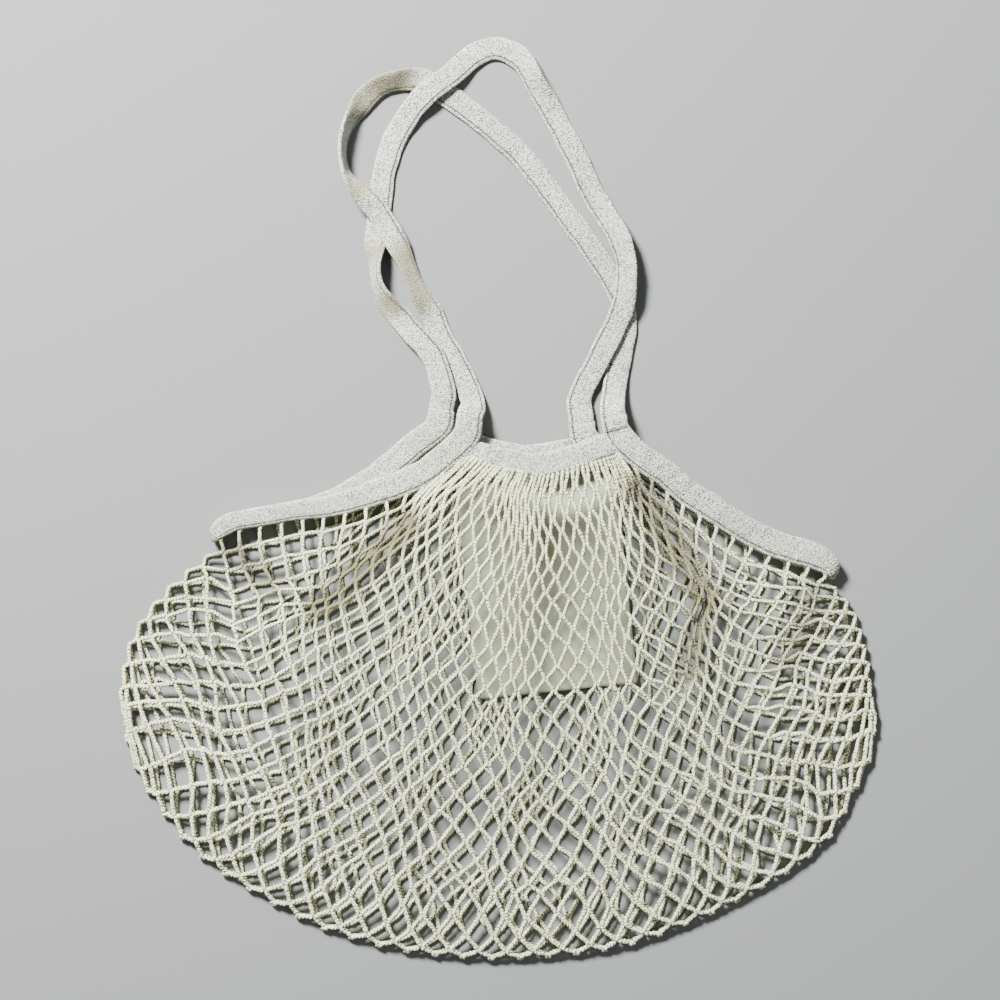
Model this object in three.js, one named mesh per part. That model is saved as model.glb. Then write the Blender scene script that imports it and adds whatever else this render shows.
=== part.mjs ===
// String shopping bag of warp-knit cotton net, as it lies flat on a surface.
// Millimetres, +Z up. The origin is under the middle of the bag, on the surface, and +Y runs from the net
// to the handles.
import * as THREE from 'three';
import { mergeVertices } from 'three/addons/utils/BufferGeometryUtils.js';

// Overall sizes
const BELLY_WIDTH = 456;       // net, across its widest place
const BELLY_LENGTH = 309;      // net, from the mouth line to the lowest point of the bottom fold
const MOUTH_Y = 32.7;          // place of the mouth line along the bag
const HANDLE_SPAN = 180;       // both handle loops together, across
const HANDLE_RISE = 240;       // mouth line to the top of the taller loop, along the middle of its tape
const HANDLE_X = -4.5;         // middle line of the two loops

// Cloth and tape
const NET_T = 2.4;             // knitted net, as thick as its cords
const CORD_BUNDLE = 11;        // width of net left standing between two gaps
const TAPE_PLY = 1.4;          // knitted cotton tape, one layer
const TAPE_W = 14;             // handle tape, folded once along its length
const BAND_W = 16;             // binding along the net's open edges, folded over the net
const LABEL_T = 1;
const LABEL_WIDTH = 96;
const LABEL_LENGTH = 128;

// Heights of the lying bag
const CLEAR = 0.3;             // gap kept between pieces that touch
const SEWN_GAP = 0.5;          // gap between the net's edge and the binding that holds it
const MOUTH_GAP = 5.4;         // open height between the two mouth bands
const BELLY_RISE = 17;         // how far the upper net stands above a line from the mouth to the fold
const GATHER_DEPTH = 1.6;      // ripple of the gathered net below the mouth
const PULLED_TIGHT = 0.72;     // width of the left binding where it is pulled tight, as a share

// Net pattern
const COLUMNS = 7;             // gaps across one side of the net
const ROWS = 5;                // gaps from mouth to bottom fold
const SLIT_ROWS = 3;           // rows that the open slit beside each handle runs past
const STEPS = 4;               // knots of the working grid in one column or row
const NET_JOIN = 0.13;         // share of a side binding's front run that lies above the net
const RELAX_SWEEPS = 900;
const SMALLEST_GAP = 0.45;     // least share of a diamond that its gap takes, where the net is gathered
const FOLD_KNOTS = 3;          // knots of the fold's table over which the net comes down from the corner
const MOUTH_INSET = 2;         // stations of a mouth band left out at either end of the net's gathered edge
const MOUTH_PICK = 2;          // of the others each second one guides that edge

// Form of the upper net
const ARCH_POWER = 0.7;        // below 1 the arch rises steeply from the fold and is flat on top
const ARCH_LEAN = 0.8;         // below 1 its highest place moves towards the mouth
const ARCH_FULL = 0.4;         // share of the arch at which the valleys have their full depth
const GATHER_END = 0.35;       // share of the way down at which the gathers have faded
const LAID_SLOPE = 6;          // how soon the lower net reaches the surface from its bound edges
const LABEL_LEAVES = 0.1;      // share of the label's length at which it starts to come down from the mouth
const LABEL_LIES = 0.5;        // share of it at which it lies on the lower net

// Stations of the strips
const CHAMFER = 0.3;           // share of a strip's thickness
const BAND_STATIONS = 20;
const TURN_STATIONS = 6;
const MOUTH_STATIONS = 14;
const HANDLE_STATIONS = 74;
const LABEL_STATIONS = 8;
const CURVE_DIVISIONS = 400;   // for the length of a curve
const SAME_POINT = 1e-4;

const BAND_T = 2 * TAPE_PLY + NET_T;
const HANDLE_T = 2 * TAPE_PLY;
const BACK_BAND_Z = BAND_T / 2;
const FRONT_MOUTH_Z = BAND_T + MOUTH_GAP + BAND_T / 2;
const FOLD_Z = NET_T + CLEAR;                              // underside of the upper net along the fold
const CORNER_Z = BACK_BAND_Z + BAND_T + 2 * CLEAR;        // where it lies on the back run, at the corner

// Bindings, from the mouth to the corner. across: share of BELLY_WIDTH from the middle, down: share of
// BELLY_LENGTH from the mouth line, sink: 0 at the height of the mouth end, 1 at the height of the corner.
const FRONT_LEFT_BAND = [
  { across: -0.036, down: -0.045, sink: 0, width: 1 },
  { across: -0.041, down: -0.014, sink: 0, width: 1 },
  { across: -0.0625, down: 0.019, sink: 0, width: 1 },
  { across: -0.093, down: 0.054, sink: 0.3, width: 1 },
  { across: -0.128, down: 0.08, sink: 0.6, width: 1 },
  { across: -0.168, down: 0.099, sink: 0.8, width: 0.95 },
  { across: -0.207, down: 0.117, sink: 0.92, width: 0.85 },
  { across: -0.26, down: 0.13, sink: 1, width: PULLED_TIGHT },
  { across: -0.3125, down: 0.142, sink: 1, width: PULLED_TIGHT },
  { across: -0.346, down: 0.152, sink: 1, width: PULLED_TIGHT },
  { across: -0.368, down: 0.168, sink: 1, width: PULLED_TIGHT },
];
const FRONT_RIGHT_BAND = [
  { across: 0.1515, down: -0.05, sink: 0, width: 1 },
  { across: 0.157, down: -0.018, sink: 0, width: 1 },
  { across: 0.1875, down: 0.027, sink: 0, width: 1 },
  { across: 0.219, down: 0.058, sink: 0.35, width: 1 },
  { across: 0.247, down: 0.093, sink: 0.65, width: 1 },
  { across: 0.281, down: 0.126, sink: 0.85, width: 1 },
  { across: 0.318, down: 0.161, sink: 1, width: 1 },
  { across: 0.356, down: 0.19, sink: 1, width: 1 },
  { across: 0.393, down: 0.208, sink: 1, width: 1 },
  { across: 0.42, down: 0.221, sink: 1, width: 0.95 },
  { across: 0.438, down: 0.236, sink: 1, width: 0.9 },
];
const BACK_LEFT_BAND = [
  { across: -0.0735, down: -0.064, width: 1 },
  { across: -0.078, down: -0.034, width: 1 },
  { across: -0.115, down: 0.01, width: 1 },
  { across: -0.149, down: 0.054, width: 1 },
  { across: -0.184, down: 0.089, width: 1 },
  { across: -0.22, down: 0.113, width: 0.9 },
  { across: -0.266, down: 0.13, width: PULLED_TIGHT },
  { across: -0.3125, down: 0.142, width: PULLED_TIGHT },
  { across: -0.346, down: 0.152, width: PULLED_TIGHT },
  { across: -0.368, down: 0.168, width: PULLED_TIGHT },
];
const BACK_RIGHT_BAND = [
  { across: 0.1107, down: -0.04, width: 1 },
  { across: 0.114, down: -0.01, width: 1 },
  { across: 0.14, down: 0.018, width: 1 },
  { across: 0.1875, down: 0.045, width: 1 },
  { across: 0.247, down: 0.101, width: 1 },
  { across: 0.318, down: 0.165, width: 1 },
  { across: 0.393, down: 0.211, width: 1 },
  { across: 0.42, down: 0.222, width: 0.95 },
  { across: 0.438, down: 0.236, width: 0.9 },
];
// Mouth bands, from left to right. skew: turn of the end that meets a side binding, in degrees.
const FRONT_MOUTH_BAND = [
  { across: -0.031, down: 0.021, skew: -40 },
  { across: -0.012, down: 0.0295, skew: 0 },
  { across: 0.0165, down: 0.039, skew: 0 },
  { across: 0.045, down: 0.045, skew: 0 },
  { across: 0.069, down: 0.043, skew: 0 },
  { across: 0.098, down: 0.029, skew: 0 },
  { across: 0.12, down: 0.0185, skew: 0 },
  { across: 0.1395, down: 0.009, skew: 42 },
];
const BACK_MOUTH_BAND = [
  { across: -0.041, down: 0.0, skew: -20 },
  { across: -0.014, down: 0.014, skew: 0 },
  { across: 0.023, down: 0.026, skew: 0 },
  { across: 0.056, down: 0.027, skew: 0 },
  { across: 0.086, down: 0.019, skew: 15 },
];

// Fold of the net: down the left side, down the right side, and round the bottom from left to right.
const LEFT_FOLD = [
  { across: -0.381, down: 0.206 },
  { across: -0.423, down: 0.254 },
  { across: -0.453, down: 0.299 },
  { across: -0.478, down: 0.35 },
  { across: -0.493, down: 0.402 },
  { across: -0.5, down: 0.476 },
  { across: -0.497, down: 0.522 },
  { across: -0.491, down: 0.573 },
];
const RIGHT_FOLD = [
  { across: 0.452, down: 0.28 },
  { across: 0.465, down: 0.303 },
  { across: 0.477, down: 0.334 },
  { across: 0.485, down: 0.373 },
  { across: 0.492, down: 0.417 },
  { across: 0.497, down: 0.474 },
  { across: 0.5, down: 0.522 },
  { across: 0.5, down: 0.559 },
];
const BOTTOM_FOLD = [
  { across: -0.491, down: 0.573 },
  { across: -0.474, down: 0.643 },
  { across: -0.444, down: 0.712 },
  { across: -0.395, down: 0.798 },
  { across: -0.325, down: 0.868 },
  { across: -0.246, down: 0.932 },
  { across: -0.152, down: 0.978 },
  { across: -0.039, down: 1 },
  { across: 0.041, down: 1 },
  { across: 0.164, down: 0.978 },
  { across: 0.255, down: 0.931 },
  { across: 0.335, down: 0.874 },
  { across: 0.4, down: 0.815 },
  { across: 0.442, down: 0.757 },
  { across: 0.472, down: 0.676 },
  { across: 0.495, down: 0.6 },
  { across: 0.5, down: 0.559 },
];

// Valleys of the upper net: from one end to the other, in the same shares. width: share of BELLY_WIDTH,
// depth: share of BELLY_RISE.
const VALLEYS = [
  { across: 0.19, down: 0.09, toAcross: 0.27, toDown: 0.3, width: 0.024, depth: 0.41 },
  { across: 0.27, down: 0.3, toAcross: 0.25, toDown: 0.44, width: 0.026, depth: 0.29 },
  { across: -0.12, down: 0.16, toAcross: -0.23, toDown: 0.32, width: 0.026, depth: 0.35 },
  { across: -0.35, down: 0.2, toAcross: -0.3, toDown: 0.27, width: 0.026, depth: 0.29 },
  { across: 0.42, down: 0.3, toAcross: 0.38, toDown: 0.42, width: 0.026, depth: 0.235 },
];

// Handle loops, from the left end to the right one. across: share of HANDLE_SPAN from HANDLE_X, up: share
// of HANDLE_RISE from the mouth line, over: tape thicknesses that it is lifted by, roll: turn about its own
// length, in degrees.
const BACK_HANDLE = [
  { across: -0.152, up: 0.1175, over: 1, roll: 0 },
  { across: -0.165, up: 0.1625, over: 1.25, roll: 0 },
  { across: -0.183, up: 0.2075, over: 1.15, roll: 0 },
  { across: -0.22, up: 0.25, over: 1.3, roll: 0 },
  { across: -0.267, up: 0.285, over: 0.9, roll: 0 },
  { across: -0.297, up: 0.3125, over: 0.1, roll: -10 },
  { across: -0.353, up: 0.36, over: 0, roll: -45 },
  { across: -0.377, up: 0.4075, over: 0, roll: -66 },
  { across: -0.383, up: 0.455, over: 0, roll: -55 },
  { across: -0.38, up: 0.51, over: 0, roll: -8 },
  { across: -0.37, up: 0.57, over: 0, roll: 0 },
  { across: -0.357, up: 0.65, over: 0, roll: 0 },
  { across: -0.34, up: 0.7175, over: 0, roll: 0 },
  { across: -0.313, up: 0.7675, over: 0, roll: 0 },
  { across: -0.273, up: 0.8175, over: 0.5, roll: 0 },
  { across: -0.22, up: 0.865, over: 1.4, roll: 0 },
  { across: -0.15, up: 0.905, over: 1.4, roll: 0 },
  { across: -0.093, up: 0.9425, over: 0.5, roll: 0 },
  { across: -0.033, up: 0.9775, over: 0, roll: 0 },
  { across: 0.023, up: 0.9875, over: 0, roll: 0 },
  { across: 0.1, up: 0.9625, over: 0, roll: 10 },
  { across: 0.14, up: 0.9125, over: 0, roll: 35 },
  { across: 0.177, up: 0.8625, over: 0, roll: 15 },
  { across: 0.217, up: 0.8125, over: 0, roll: 0 },
  { across: 0.287, up: 0.7125, over: 0, roll: 0 },
  { across: 0.35, up: 0.6125, over: 0.1, roll: 0 },
  { across: 0.39, up: 0.5625, over: 0.6, roll: 10 },
  { across: 0.427, up: 0.5125, over: 1.15, roll: 25 },
  { across: 0.45, up: 0.4575, over: 1.2, roll: 32 },
  { across: 0.453, up: 0.3875, over: 1.2, roll: 25 },
  { across: 0.433, up: 0.3225, over: 1.2, roll: 0 },
  { across: 0.393, up: 0.2575, over: 1.15, roll: 0 },
  { across: 0.353, up: 0.2, over: 1.1, roll: 0 },
  { across: 0.313, up: 0.1425, over: 0.6, roll: 0 },
  { across: 0.293, up: 0.1, over: 0.3, roll: 0 },
];
const FRONT_HANDLE = [
  { across: -0.053, up: 0.0875, over: 1.7, roll: 0 },
  { across: -0.072, up: 0.1375, over: 0.1, roll: 0 },
  { across: -0.11, up: 0.2, over: 0, roll: 0 },
  { across: -0.163, up: 0.2625, over: 0, roll: 0 },
  { across: -0.193, up: 0.325, over: 0, roll: 10 },
  { across: -0.227, up: 0.365, over: 0, roll: 35 },
  { across: -0.257, up: 0.41, over: 0, roll: 45 },
  { across: -0.283, up: 0.4575, over: 0.3, roll: 42 },
  { across: -0.32, up: 0.51, over: 1.6, roll: 8 },
  { across: -0.347, up: 0.5475, over: 1.4, roll: 0 },
  { across: -0.377, up: 0.5825, over: 1.4, roll: 0 },
  { across: -0.413, up: 0.6125, over: 1.3, roll: 15 },
  { across: -0.457, up: 0.6475, over: 0.3, roll: 58 },
  { across: -0.48, up: 0.68, over: 0, roll: 76 },
  { across: -0.49, up: 0.72, over: 0, roll: 78 },
  { across: -0.485, up: 0.7625, over: 0, roll: 75 },
  { across: -0.458, up: 0.8125, over: 0, roll: 58 },
  { across: -0.413, up: 0.8625, over: 0, roll: 25 },
  { across: -0.367, up: 0.89, over: 0, roll: 38 },
  { across: -0.3, up: 0.904, over: 0, roll: 40 },
  { across: -0.23, up: 0.9075, over: 0, roll: 0 },
  { across: -0.167, up: 0.8825, over: 0, roll: 0 },
  { across: -0.1, up: 0.8475, over: 0, roll: 0 },
  { across: -0.04, up: 0.8125, over: 0, roll: 0 },
  { across: 0.043, up: 0.7625, over: 0, roll: 0 },
  { across: 0.11, up: 0.7125, over: 0, roll: 0 },
  { across: 0.215, up: 0.6125, over: 0, roll: 0 },
  { across: 0.313, up: 0.5125, over: 0, roll: 0 },
  { across: 0.36, up: 0.4625, over: 0, roll: 0 },
  { across: 0.403, up: 0.4125, over: 0, roll: 0 },
  { across: 0.437, up: 0.3625, over: 0, roll: 0 },
  { across: 0.45, up: 0.3125, over: 0, roll: 0 },
  { across: 0.447, up: 0.2625, over: 0, roll: 0 },
  { across: 0.433, up: 0.2075, over: 0, roll: 0 },
  { across: 0.417, up: 0.155, over: 0.35, roll: 0 },
  { across: 0.407, up: 0.1075, over: 1.8, roll: 0 },
];

// Label, which hangs inside from the back mouth band: place of the middle of its upper edge, and its turn.
const LABEL = { across: 0.05, down: 0.068, turn: 6 };

const onNet = (row) => new THREE.Vector3(row.across * BELLY_WIDTH, MOUTH_Y - row.down * BELLY_LENGTH, 0);
const UP = new THREE.Vector3(0, 0, 1);
const mix = THREE.MathUtils.lerp;
const smooth = THREE.MathUtils.smoothstep;

// Smooth curve through points, at n + 1 places equally far apart, from one share of its length to another.
function along(points, n, from = 0, to = 1) {
  const curve = new THREE.CatmullRomCurve3(points);
  curve.arcLengthDivisions = CURVE_DIVISIONS;
  return Array.from({ length: n + 1 }, (_, i) => curve.getPointAt(mix(from, to, i / n)));
}

// Value of one named column of a table, where a run of n + 1 places passes its rows.
function column(rows, points, name, n, from = 0, to = 1) {
  const curve = new THREE.CatmullRomCurve3(points);
  curve.arcLengthDivisions = CURVE_DIVISIONS;
  return Array.from({ length: n + 1 }, (_, i) => {
    const at = curve.getUtoTmapping(mix(from, to, i / n)) * (rows.length - 1);
    const row = Math.min(Math.floor(at), rows.length - 2);
    return mix(rows[row][name], rows[row + 1][name], smooth(at - row, 0, 1));
  });
}

// Level direction across a line of points, to its left.
function leftOf(points) {
  return points.map((_, i) => {
    const before = points[Math.max(i - 1, 0)];
    const after = points[Math.min(i + 1, points.length - 1)];
    return new THREE.Vector3(before.y - after.y, after.x - before.x, 0).normalize();
  });
}

// Closed strip of chamfered rectangular section. Each station has its middle, its width direction and sizes.
function strip(stations) {
  const position = [];
  const index = [];
  const corners = [
    [1, -1, 0], [1, 1, 0], [1, 1, 1], [-1, 1, 1],
    [-1, 1, 0], [-1, -1, 0], [-1, -1, 1], [1, -1, 1],
  ];
  stations.forEach(({ at, across, width, thick }, i) => {
    const before = stations[Math.max(i - 1, 0)].at;
    const after = stations[Math.min(i + 1, stations.length - 1)].at;
    const run = after.clone().sub(before).normalize();
    const up = run.clone().cross(across).normalize();
    const side = across.clone().divideScalar(up.clone().cross(run).normalize().dot(across));
    const chamfer = thick * CHAMFER;
    for (const [a, b, flat] of corners) {
      const half = width / 2 - (flat ? chamfer : 0);
      const rise = thick / 2 - (flat ? 0 : chamfer);
      position.push(...at.clone().addScaledVector(side, a * half).addScaledVector(up, b * rise).toArray());
    }
  });
  const n = corners.length;
  for (let i = 0; i + 1 < stations.length; i++) {
    for (let k = 0; k < n; k++) {
      const a = i * n + k;
      const b = i * n + (k + 1) % n;
      index.push(a, b, b + n, a, b + n, a + n);
    }
  }
  const last = (stations.length - 1) * n;
  for (let k = 1; k + 1 < n; k++) {
    index.push(0, k + 1, k, last, last + k, last + k + 1);
  }
  return solidOf(position, index);
}

function solidOf(position, index) {
  const geometry = new THREE.BufferGeometry();
  geometry.setAttribute('position', new THREE.Float32BufferAttribute(position, 3));
  geometry.setIndex(index);
  geometry.computeVertexNormals();
  return geometry;
}

// One run of a side binding, mouth to corner. side is 1 on the right of the bag and -1 on the left.
function bindingRun(rows, side, heightOf) {
  const points = rows.map(onNet);
  const middles = along(points, BAND_STATIONS);
  const outward = leftOf(middles);
  const widths = column(rows, points, 'width', BAND_STATIONS);
  return middles.map((at, i) => ({
    at: at.setZ(heightOf(i)),
    across: outward[i].multiplyScalar(side),
    width: widths[i] * BAND_W,
    thick: BAND_T,
  }));
}

// Heights of a front run, which goes down from the end of the mouth band to the corner.
function sinking(rows) {
  const sinks = column(rows, rows.map(onNet), 'sink', BAND_STATIONS);
  return (i) => mix(FRONT_MOUTH_Z, CORNER_Z, sinks[i]);
}

// The tape turns over at the corner: a half circle that joins the front run to the back one below it.
function turnOver(front, back) {
  const end = front[BAND_STATIONS];
  const start = back[BAND_STATIONS];
  const heading = end.at.clone().sub(front[BAND_STATIONS - 1].at).setZ(0).normalize();
  const middle = end.at.clone().lerp(start.at, 0.5);
  const radius = (end.at.z - start.at.z) / 2;
  return Array.from({ length: TURN_STATIONS - 1 }, (_, i) => {
    const angle = ((i + 1) / TURN_STATIONS) * Math.PI;
    const at = middle.clone().addScaledVector(heading, radius * Math.sin(angle));
    at.z += radius * Math.cos(angle);
    return { ...end, at, across: end.across.clone().lerp(start.across, (i + 1) / TURN_STATIONS) };
  });
}

// Edge of the net that lies in a binding, from the mouth to the corner, at the height of the net's underside.
function boundEdge(run) {
  return run
    .slice(Math.round(NET_JOIN * BAND_STATIONS))
    .map(({ at, across, width }) => underside(at.clone().addScaledVector(across, -width / 2 - SEWN_GAP)));
}

const underside = (point) => point.setZ(point.z - NET_T / 2);

// Mouth band as stations of a strip.
function mouthStations(rows, height) {
  const points = rows.map(onNet);
  const middles = along(points, MOUTH_STATIONS);
  const outward = leftOf(middles);
  const skews = column(rows, points, 'skew', MOUTH_STATIONS);
  return middles.map((at, i) => {
    const across = outward[i].applyAxisAngle(UP, THREE.MathUtils.degToRad(skews[i]));
    return { at: at.setZ(height), across, width: BAND_W, thick: BAND_T };
  });
}

// The net's gathered edge below a mouth band, from its first corner to its last one.
function gatheredEdge(stations, first, last) {
  const inner = stations
    .slice(MOUTH_INSET, -MOUTH_INSET)
    .filter((_, i) => i % MOUTH_PICK === 0)
    .map(({ at, across }) => underside(at.clone().addScaledVector(across, -BAND_W / 2 - SEWN_GAP)));
  return [first, ...inner, last];
}

// One side of the net as a grid of points on its underside: each knot settles midway between its neighbours.
function settledNet(left, right, top, bottom) {
  const columns = COLUMNS * STEPS;
  const rows = ROWS * STEPS;
  const grid = Array.from({ length: rows + 1 }, (_, j) => Array.from({ length: columns + 1 }, (_, i) => {
    if (j === 0) return top[i].clone();
    if (j === rows) return bottom[i].clone();
    return left[j].clone().lerp(right[j], i / columns);
  }));
  for (let sweep = 0; sweep < RELAX_SWEEPS; sweep++) {
    for (let j = 1; j < rows; j++) {
      for (let i = 1; i < columns; i++) {
        const knot = grid[j][i].copy(grid[j - 1][i]).add(grid[j + 1][i]);
        knot.add(grid[j][i - 1]).add(grid[j][i + 1]).divideScalar(4);
      }
    }
  }
  return grid;
}

// Edge of the net along the open slit and then along the fold, where it comes down to the fold's height.
function sideEdge(bound, fold, foldZ) {
  const corner = bound[bound.length - 1];
  const folded = fold.map((row, k) => onNet(row).setZ(mix(corner.z, foldZ, smooth(k + 1, 0, FOLD_KNOTS))));
  const slit = along(bound, SLIT_ROWS * STEPS);
  return slit.concat(along([corner, ...folded], (ROWS - SLIT_ROWS) * STEPS).slice(1));
}

// Grid of one side of the net, held by two side bindings and a mouth band, and folded at a height.
function netGrid(leftRun, mouth, rightRun, foldZ) {
  const left = sideEdge(boundEdge(leftRun), LEFT_FOLD, foldZ);
  const right = sideEdge(boundEdge(rightRun), RIGHT_FOLD, foldZ);
  const top = along(gatheredEdge(mouth, left[0], right[0]), COLUMNS * STEPS);
  const bottom = along(BOTTOM_FOLD.map((row) => onNet(row).setZ(foldZ)), COLUMNS * STEPS);
  return settledNet(left, right, top, bottom);
}

// Depth of the valleys at a place on the upper net.
function valleyDepth(x, y) {
  let depth = 0;
  for (const valley of VALLEYS) {
    const from = onNet(valley);
    const to = onNet({ across: valley.toAcross, down: valley.toDown });
    const line = new THREE.Line3(from, to);
    const place = new THREE.Vector3(x, y, 0);
    const away = line.closestPointToPoint(place, true, new THREE.Vector3()).distanceTo(place);
    const fade = Math.exp(-((away / (valley.width * BELLY_WIDTH)) ** 2));
    depth = Math.max(depth, valley.depth * BELLY_RISE * fade);
  }
  return depth;
}

// Upper net: it arches over the hollow, with gathers below the mouth and the valleys pressed in.
function archedNet(grid) {
  grid.forEach((row, j) => row.forEach((point, i) => {
    const s = i / (row.length - 1);
    const t = j / (grid.length - 1);
    if (s === 0 || s === 1 || t === 0 || t === 1) return;
    const arch = (Math.sin(Math.PI * s) ** ARCH_POWER) * (Math.sin(Math.PI * t ** ARCH_LEAN) ** ARCH_POWER);
    const gather = GATHER_DEPTH * Math.cos(2 * Math.PI * COLUMNS * s) * (1 - smooth(t, 0, GATHER_END));
    point.z += BELLY_RISE * arch + gather - valleyDepth(point.x, point.y) * smooth(arch, 0, ARCH_FULL);
    point.z = Math.max(point.z, FOLD_Z);
  }));
  return grid;
}

// Lower net: flat on the surface, lifted only where its bound edges are.
function laidNet(grid) {
  const lift = BACK_BAND_Z - NET_T / 2;
  grid.forEach((row) => row.forEach((point) => {
    point.z = Math.max(0, LAID_SLOPE * point.z - (LAID_SLOPE - 1) * lift);
  }));
  return grid;
}

// Net solid: diamond gaps cut through, in two staggered sets, and a rim all round.
function netSolid(grid) {
  const position = [];
  const index = [];
  const rows = grid.length - 1;
  const columns = grid[0].length - 1;
  const face = (low, high) => {
    const first = position.length / 3;
    for (const point of low) position.push(point.x, point.y, point.z);
    for (const point of high) position.push(point.x, point.y, point.z + NET_T);
    return first;
  };
  const at = ([i, j]) => grid[j][i];
  const centreOf = (points) => {
    const sum = points.reduce((total, p) => total.add(p), new THREE.Vector3());
    return sum.divideScalar(points.length);
  };
  const inside = ([i, j]) => i >= 0 && j >= 0 && i <= columns && j <= rows;

  // Ring of net round one gap, whose border runs clockwise seen from above.
  const gapped = (border) => {
    const points = border.map(at);
    const centre = centreOf(points);
    let area = 0;
    let round = 0;
    points.forEach((p, k) => {
      const q = points[(k + 1) % points.length];
      area += new THREE.Vector3().crossVectors(p.clone().sub(centre), q.clone().sub(centre)).length() / 2;
      round += p.distanceTo(q);
    });
    const share = Math.max(1 - (CORD_BUNDLE / 2) * round / (2 * area), SMALLEST_GAP);
    const hole = points.map((p) => centre.clone().lerp(p, share));
    const n = points.length;
    const first = face([...points, ...hole], [...points, ...hole]);
    for (let k = 0; k < n; k++) {
      const next = (k + 1) % n;
      const [p, q, h, g] = [first + k, first + next, first + n + k, first + n + next];
      index.push(p, q, g, p, g, h);
      const up = 2 * n;
      index.push(p + up, g + up, q + up, p + up, h + up, g + up);
      index.push(h, g, g + up, h, g + up, h + up);
    }
  };

  // Closed triangle of net at the edge, with its outer side as a rim.
  const closed = (border, rimSteps) => {
    const points = border.map(at);
    points.push(centreOf(points));
    const n = border.length;
    const up = n + 1;
    const first = face(points, points);
    for (let k = 0; k < n; k++) {
      const p = first + k;
      const q = first + (k + 1) % n;
      index.push(p, q, first + n);
      index.push(p + up, first + n + up, q + up);
      if (k < rimSteps) index.push(p, p + up, q + up, p, q + up, q);
    }
  };

  const half = STEPS / 2;
  const quarter = STEPS / 4;
  const around = [
    [-half, 0], [-quarter, -quarter], [0, -half], [quarter, -quarter],
    [half, 0], [quarter, quarter], [0, half], [-quarter, quarter],
  ];
  for (let j = 0; j <= rows; j += half) {
    for (let i = 0; i <= columns; i += half) {
      if ((i + j) % STEPS !== 0) continue;
      const border = around.map(([di, dj]) => [i + di, j + dj]);
      if (border.every(inside)) gapped(border);
    }
  }
  for (const [border, rimSteps] of edgeTriangles(columns, rows)) closed(border, rimSteps);
  return mergeVertices(solidOf(position, index).deleteAttribute('normal'), SAME_POINT);
}

// Borders of the closed triangles between the outermost gaps and the edge of a grid, clockwise from above.
// Each starts with its steps along the edge.
function edgeTriangles(columns, rows) {
  const walk = [];
  for (let i = 0; i < columns; i++) walk.push([i, 0]);
  for (let j = 0; j < rows; j++) walk.push([columns, j]);
  for (let i = columns; i > 0; i--) walk.push([i, rows]);
  for (let j = rows; j > 0; j--) walk.push([0, j]);
  const half = STEPS / 2;
  const between = (p, q) => [(p[0] + q[0]) / 2, (p[1] + q[1]) / 2];
  const triangles = [];
  for (let m = 0; m < walk.length; m += STEPS) {
    const rim = Array.from({ length: STEPS + 1 }, (_, k) => walk[(m + k - half + walk.length) % walk.length]);
    const start = rim[0];
    const end = rim[STEPS];
    const straight = start[0] === end[0] || start[1] === end[1];
    if (straight) {
      const apex = [walk[m][0] - (end[1] - start[1]) / 2, walk[m][1] + (end[0] - start[0]) / 2];
      triangles.push([[...rim, between(end, apex), apex, between(apex, start)], STEPS]);
    } else {
      triangles.push([[...rim, between(end, start)], STEPS]);
    }
  }
  return triangles;
}

// Height of the middle of a handle tape that lies on the surface, turned about its own length.
function lyingHeight(roll, over) {
  const turn = THREE.MathUtils.degToRad(Math.abs(roll));
  return (Math.sin(turn) * TAPE_W + Math.cos(turn) * HANDLE_T) / 2 + over * (HANDLE_T + CLEAR);
}

// Handle between the mouth ends of two bindings, along its table.
function handleStations(leftBand, rows, rightBand) {
  const leave = (band, far) => {
    const heading = band[0].at.clone().sub(band[1].at).setZ(0).normalize();
    return band[0].at.clone().addScaledVector(heading, far);
  };
  const ends = { over: 0, roll: 0 };
  const table = [ends, ...rows, ends];
  const points = [
    leave(leftBand, CLEAR),
    leave(leftBand, BAND_T),
    ...rows.map(({ across, up, over, roll }) => new THREE.Vector3(
      HANDLE_X + across * HANDLE_SPAN, MOUTH_Y + up * HANDLE_RISE, lyingHeight(roll, over))),
    leave(rightBand, BAND_T),
    leave(rightBand, CLEAR),
  ];
  const middles = [points[0], ...along(points.slice(1, -1), HANDLE_STATIONS - 2), points[points.length - 1]];
  const level = leftOf(middles);
  const rolls = [0, ...column(table, points.slice(1, -1), 'roll', HANDLE_STATIONS - 2), 0];
  return middles.map((at, i) => {
    const roll = THREE.MathUtils.degToRad(rolls[i]);
    at.z = Math.max(at.z, lyingHeight(rolls[i], 0));
    const across = level[i].multiplyScalar(Math.cos(roll)).setZ(Math.sin(roll));
    return { at, across, width: TAPE_W, thick: HANDLE_T };
  });
}

// Label, level across and laid on the lower net, which its upper edge follows up to the band.
function labelStations() {
  const top = onNet(LABEL);
  const turn = THREE.MathUtils.degToRad(LABEL.turn);
  const down = new THREE.Vector3(Math.sin(turn), -Math.cos(turn), 0);
  const across = new THREE.Vector3(Math.cos(turn), Math.sin(turn), 0);
  return Array.from({ length: LABEL_STATIONS + 1 }, (_, i) => {
    const share = i / LABEL_STATIONS;
    const at = top.clone().addScaledVector(down, share * LABEL_LENGTH);
    const lift = (BACK_BAND_Z - NET_T / 2) * (1 - smooth(share, LABEL_LEAVES, LABEL_LIES));
    return { at: at.setZ(NET_T + CLEAR + LABEL_T / 2 + lift), across, width: LABEL_WIDTH, thick: LABEL_T };
  });
}

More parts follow.
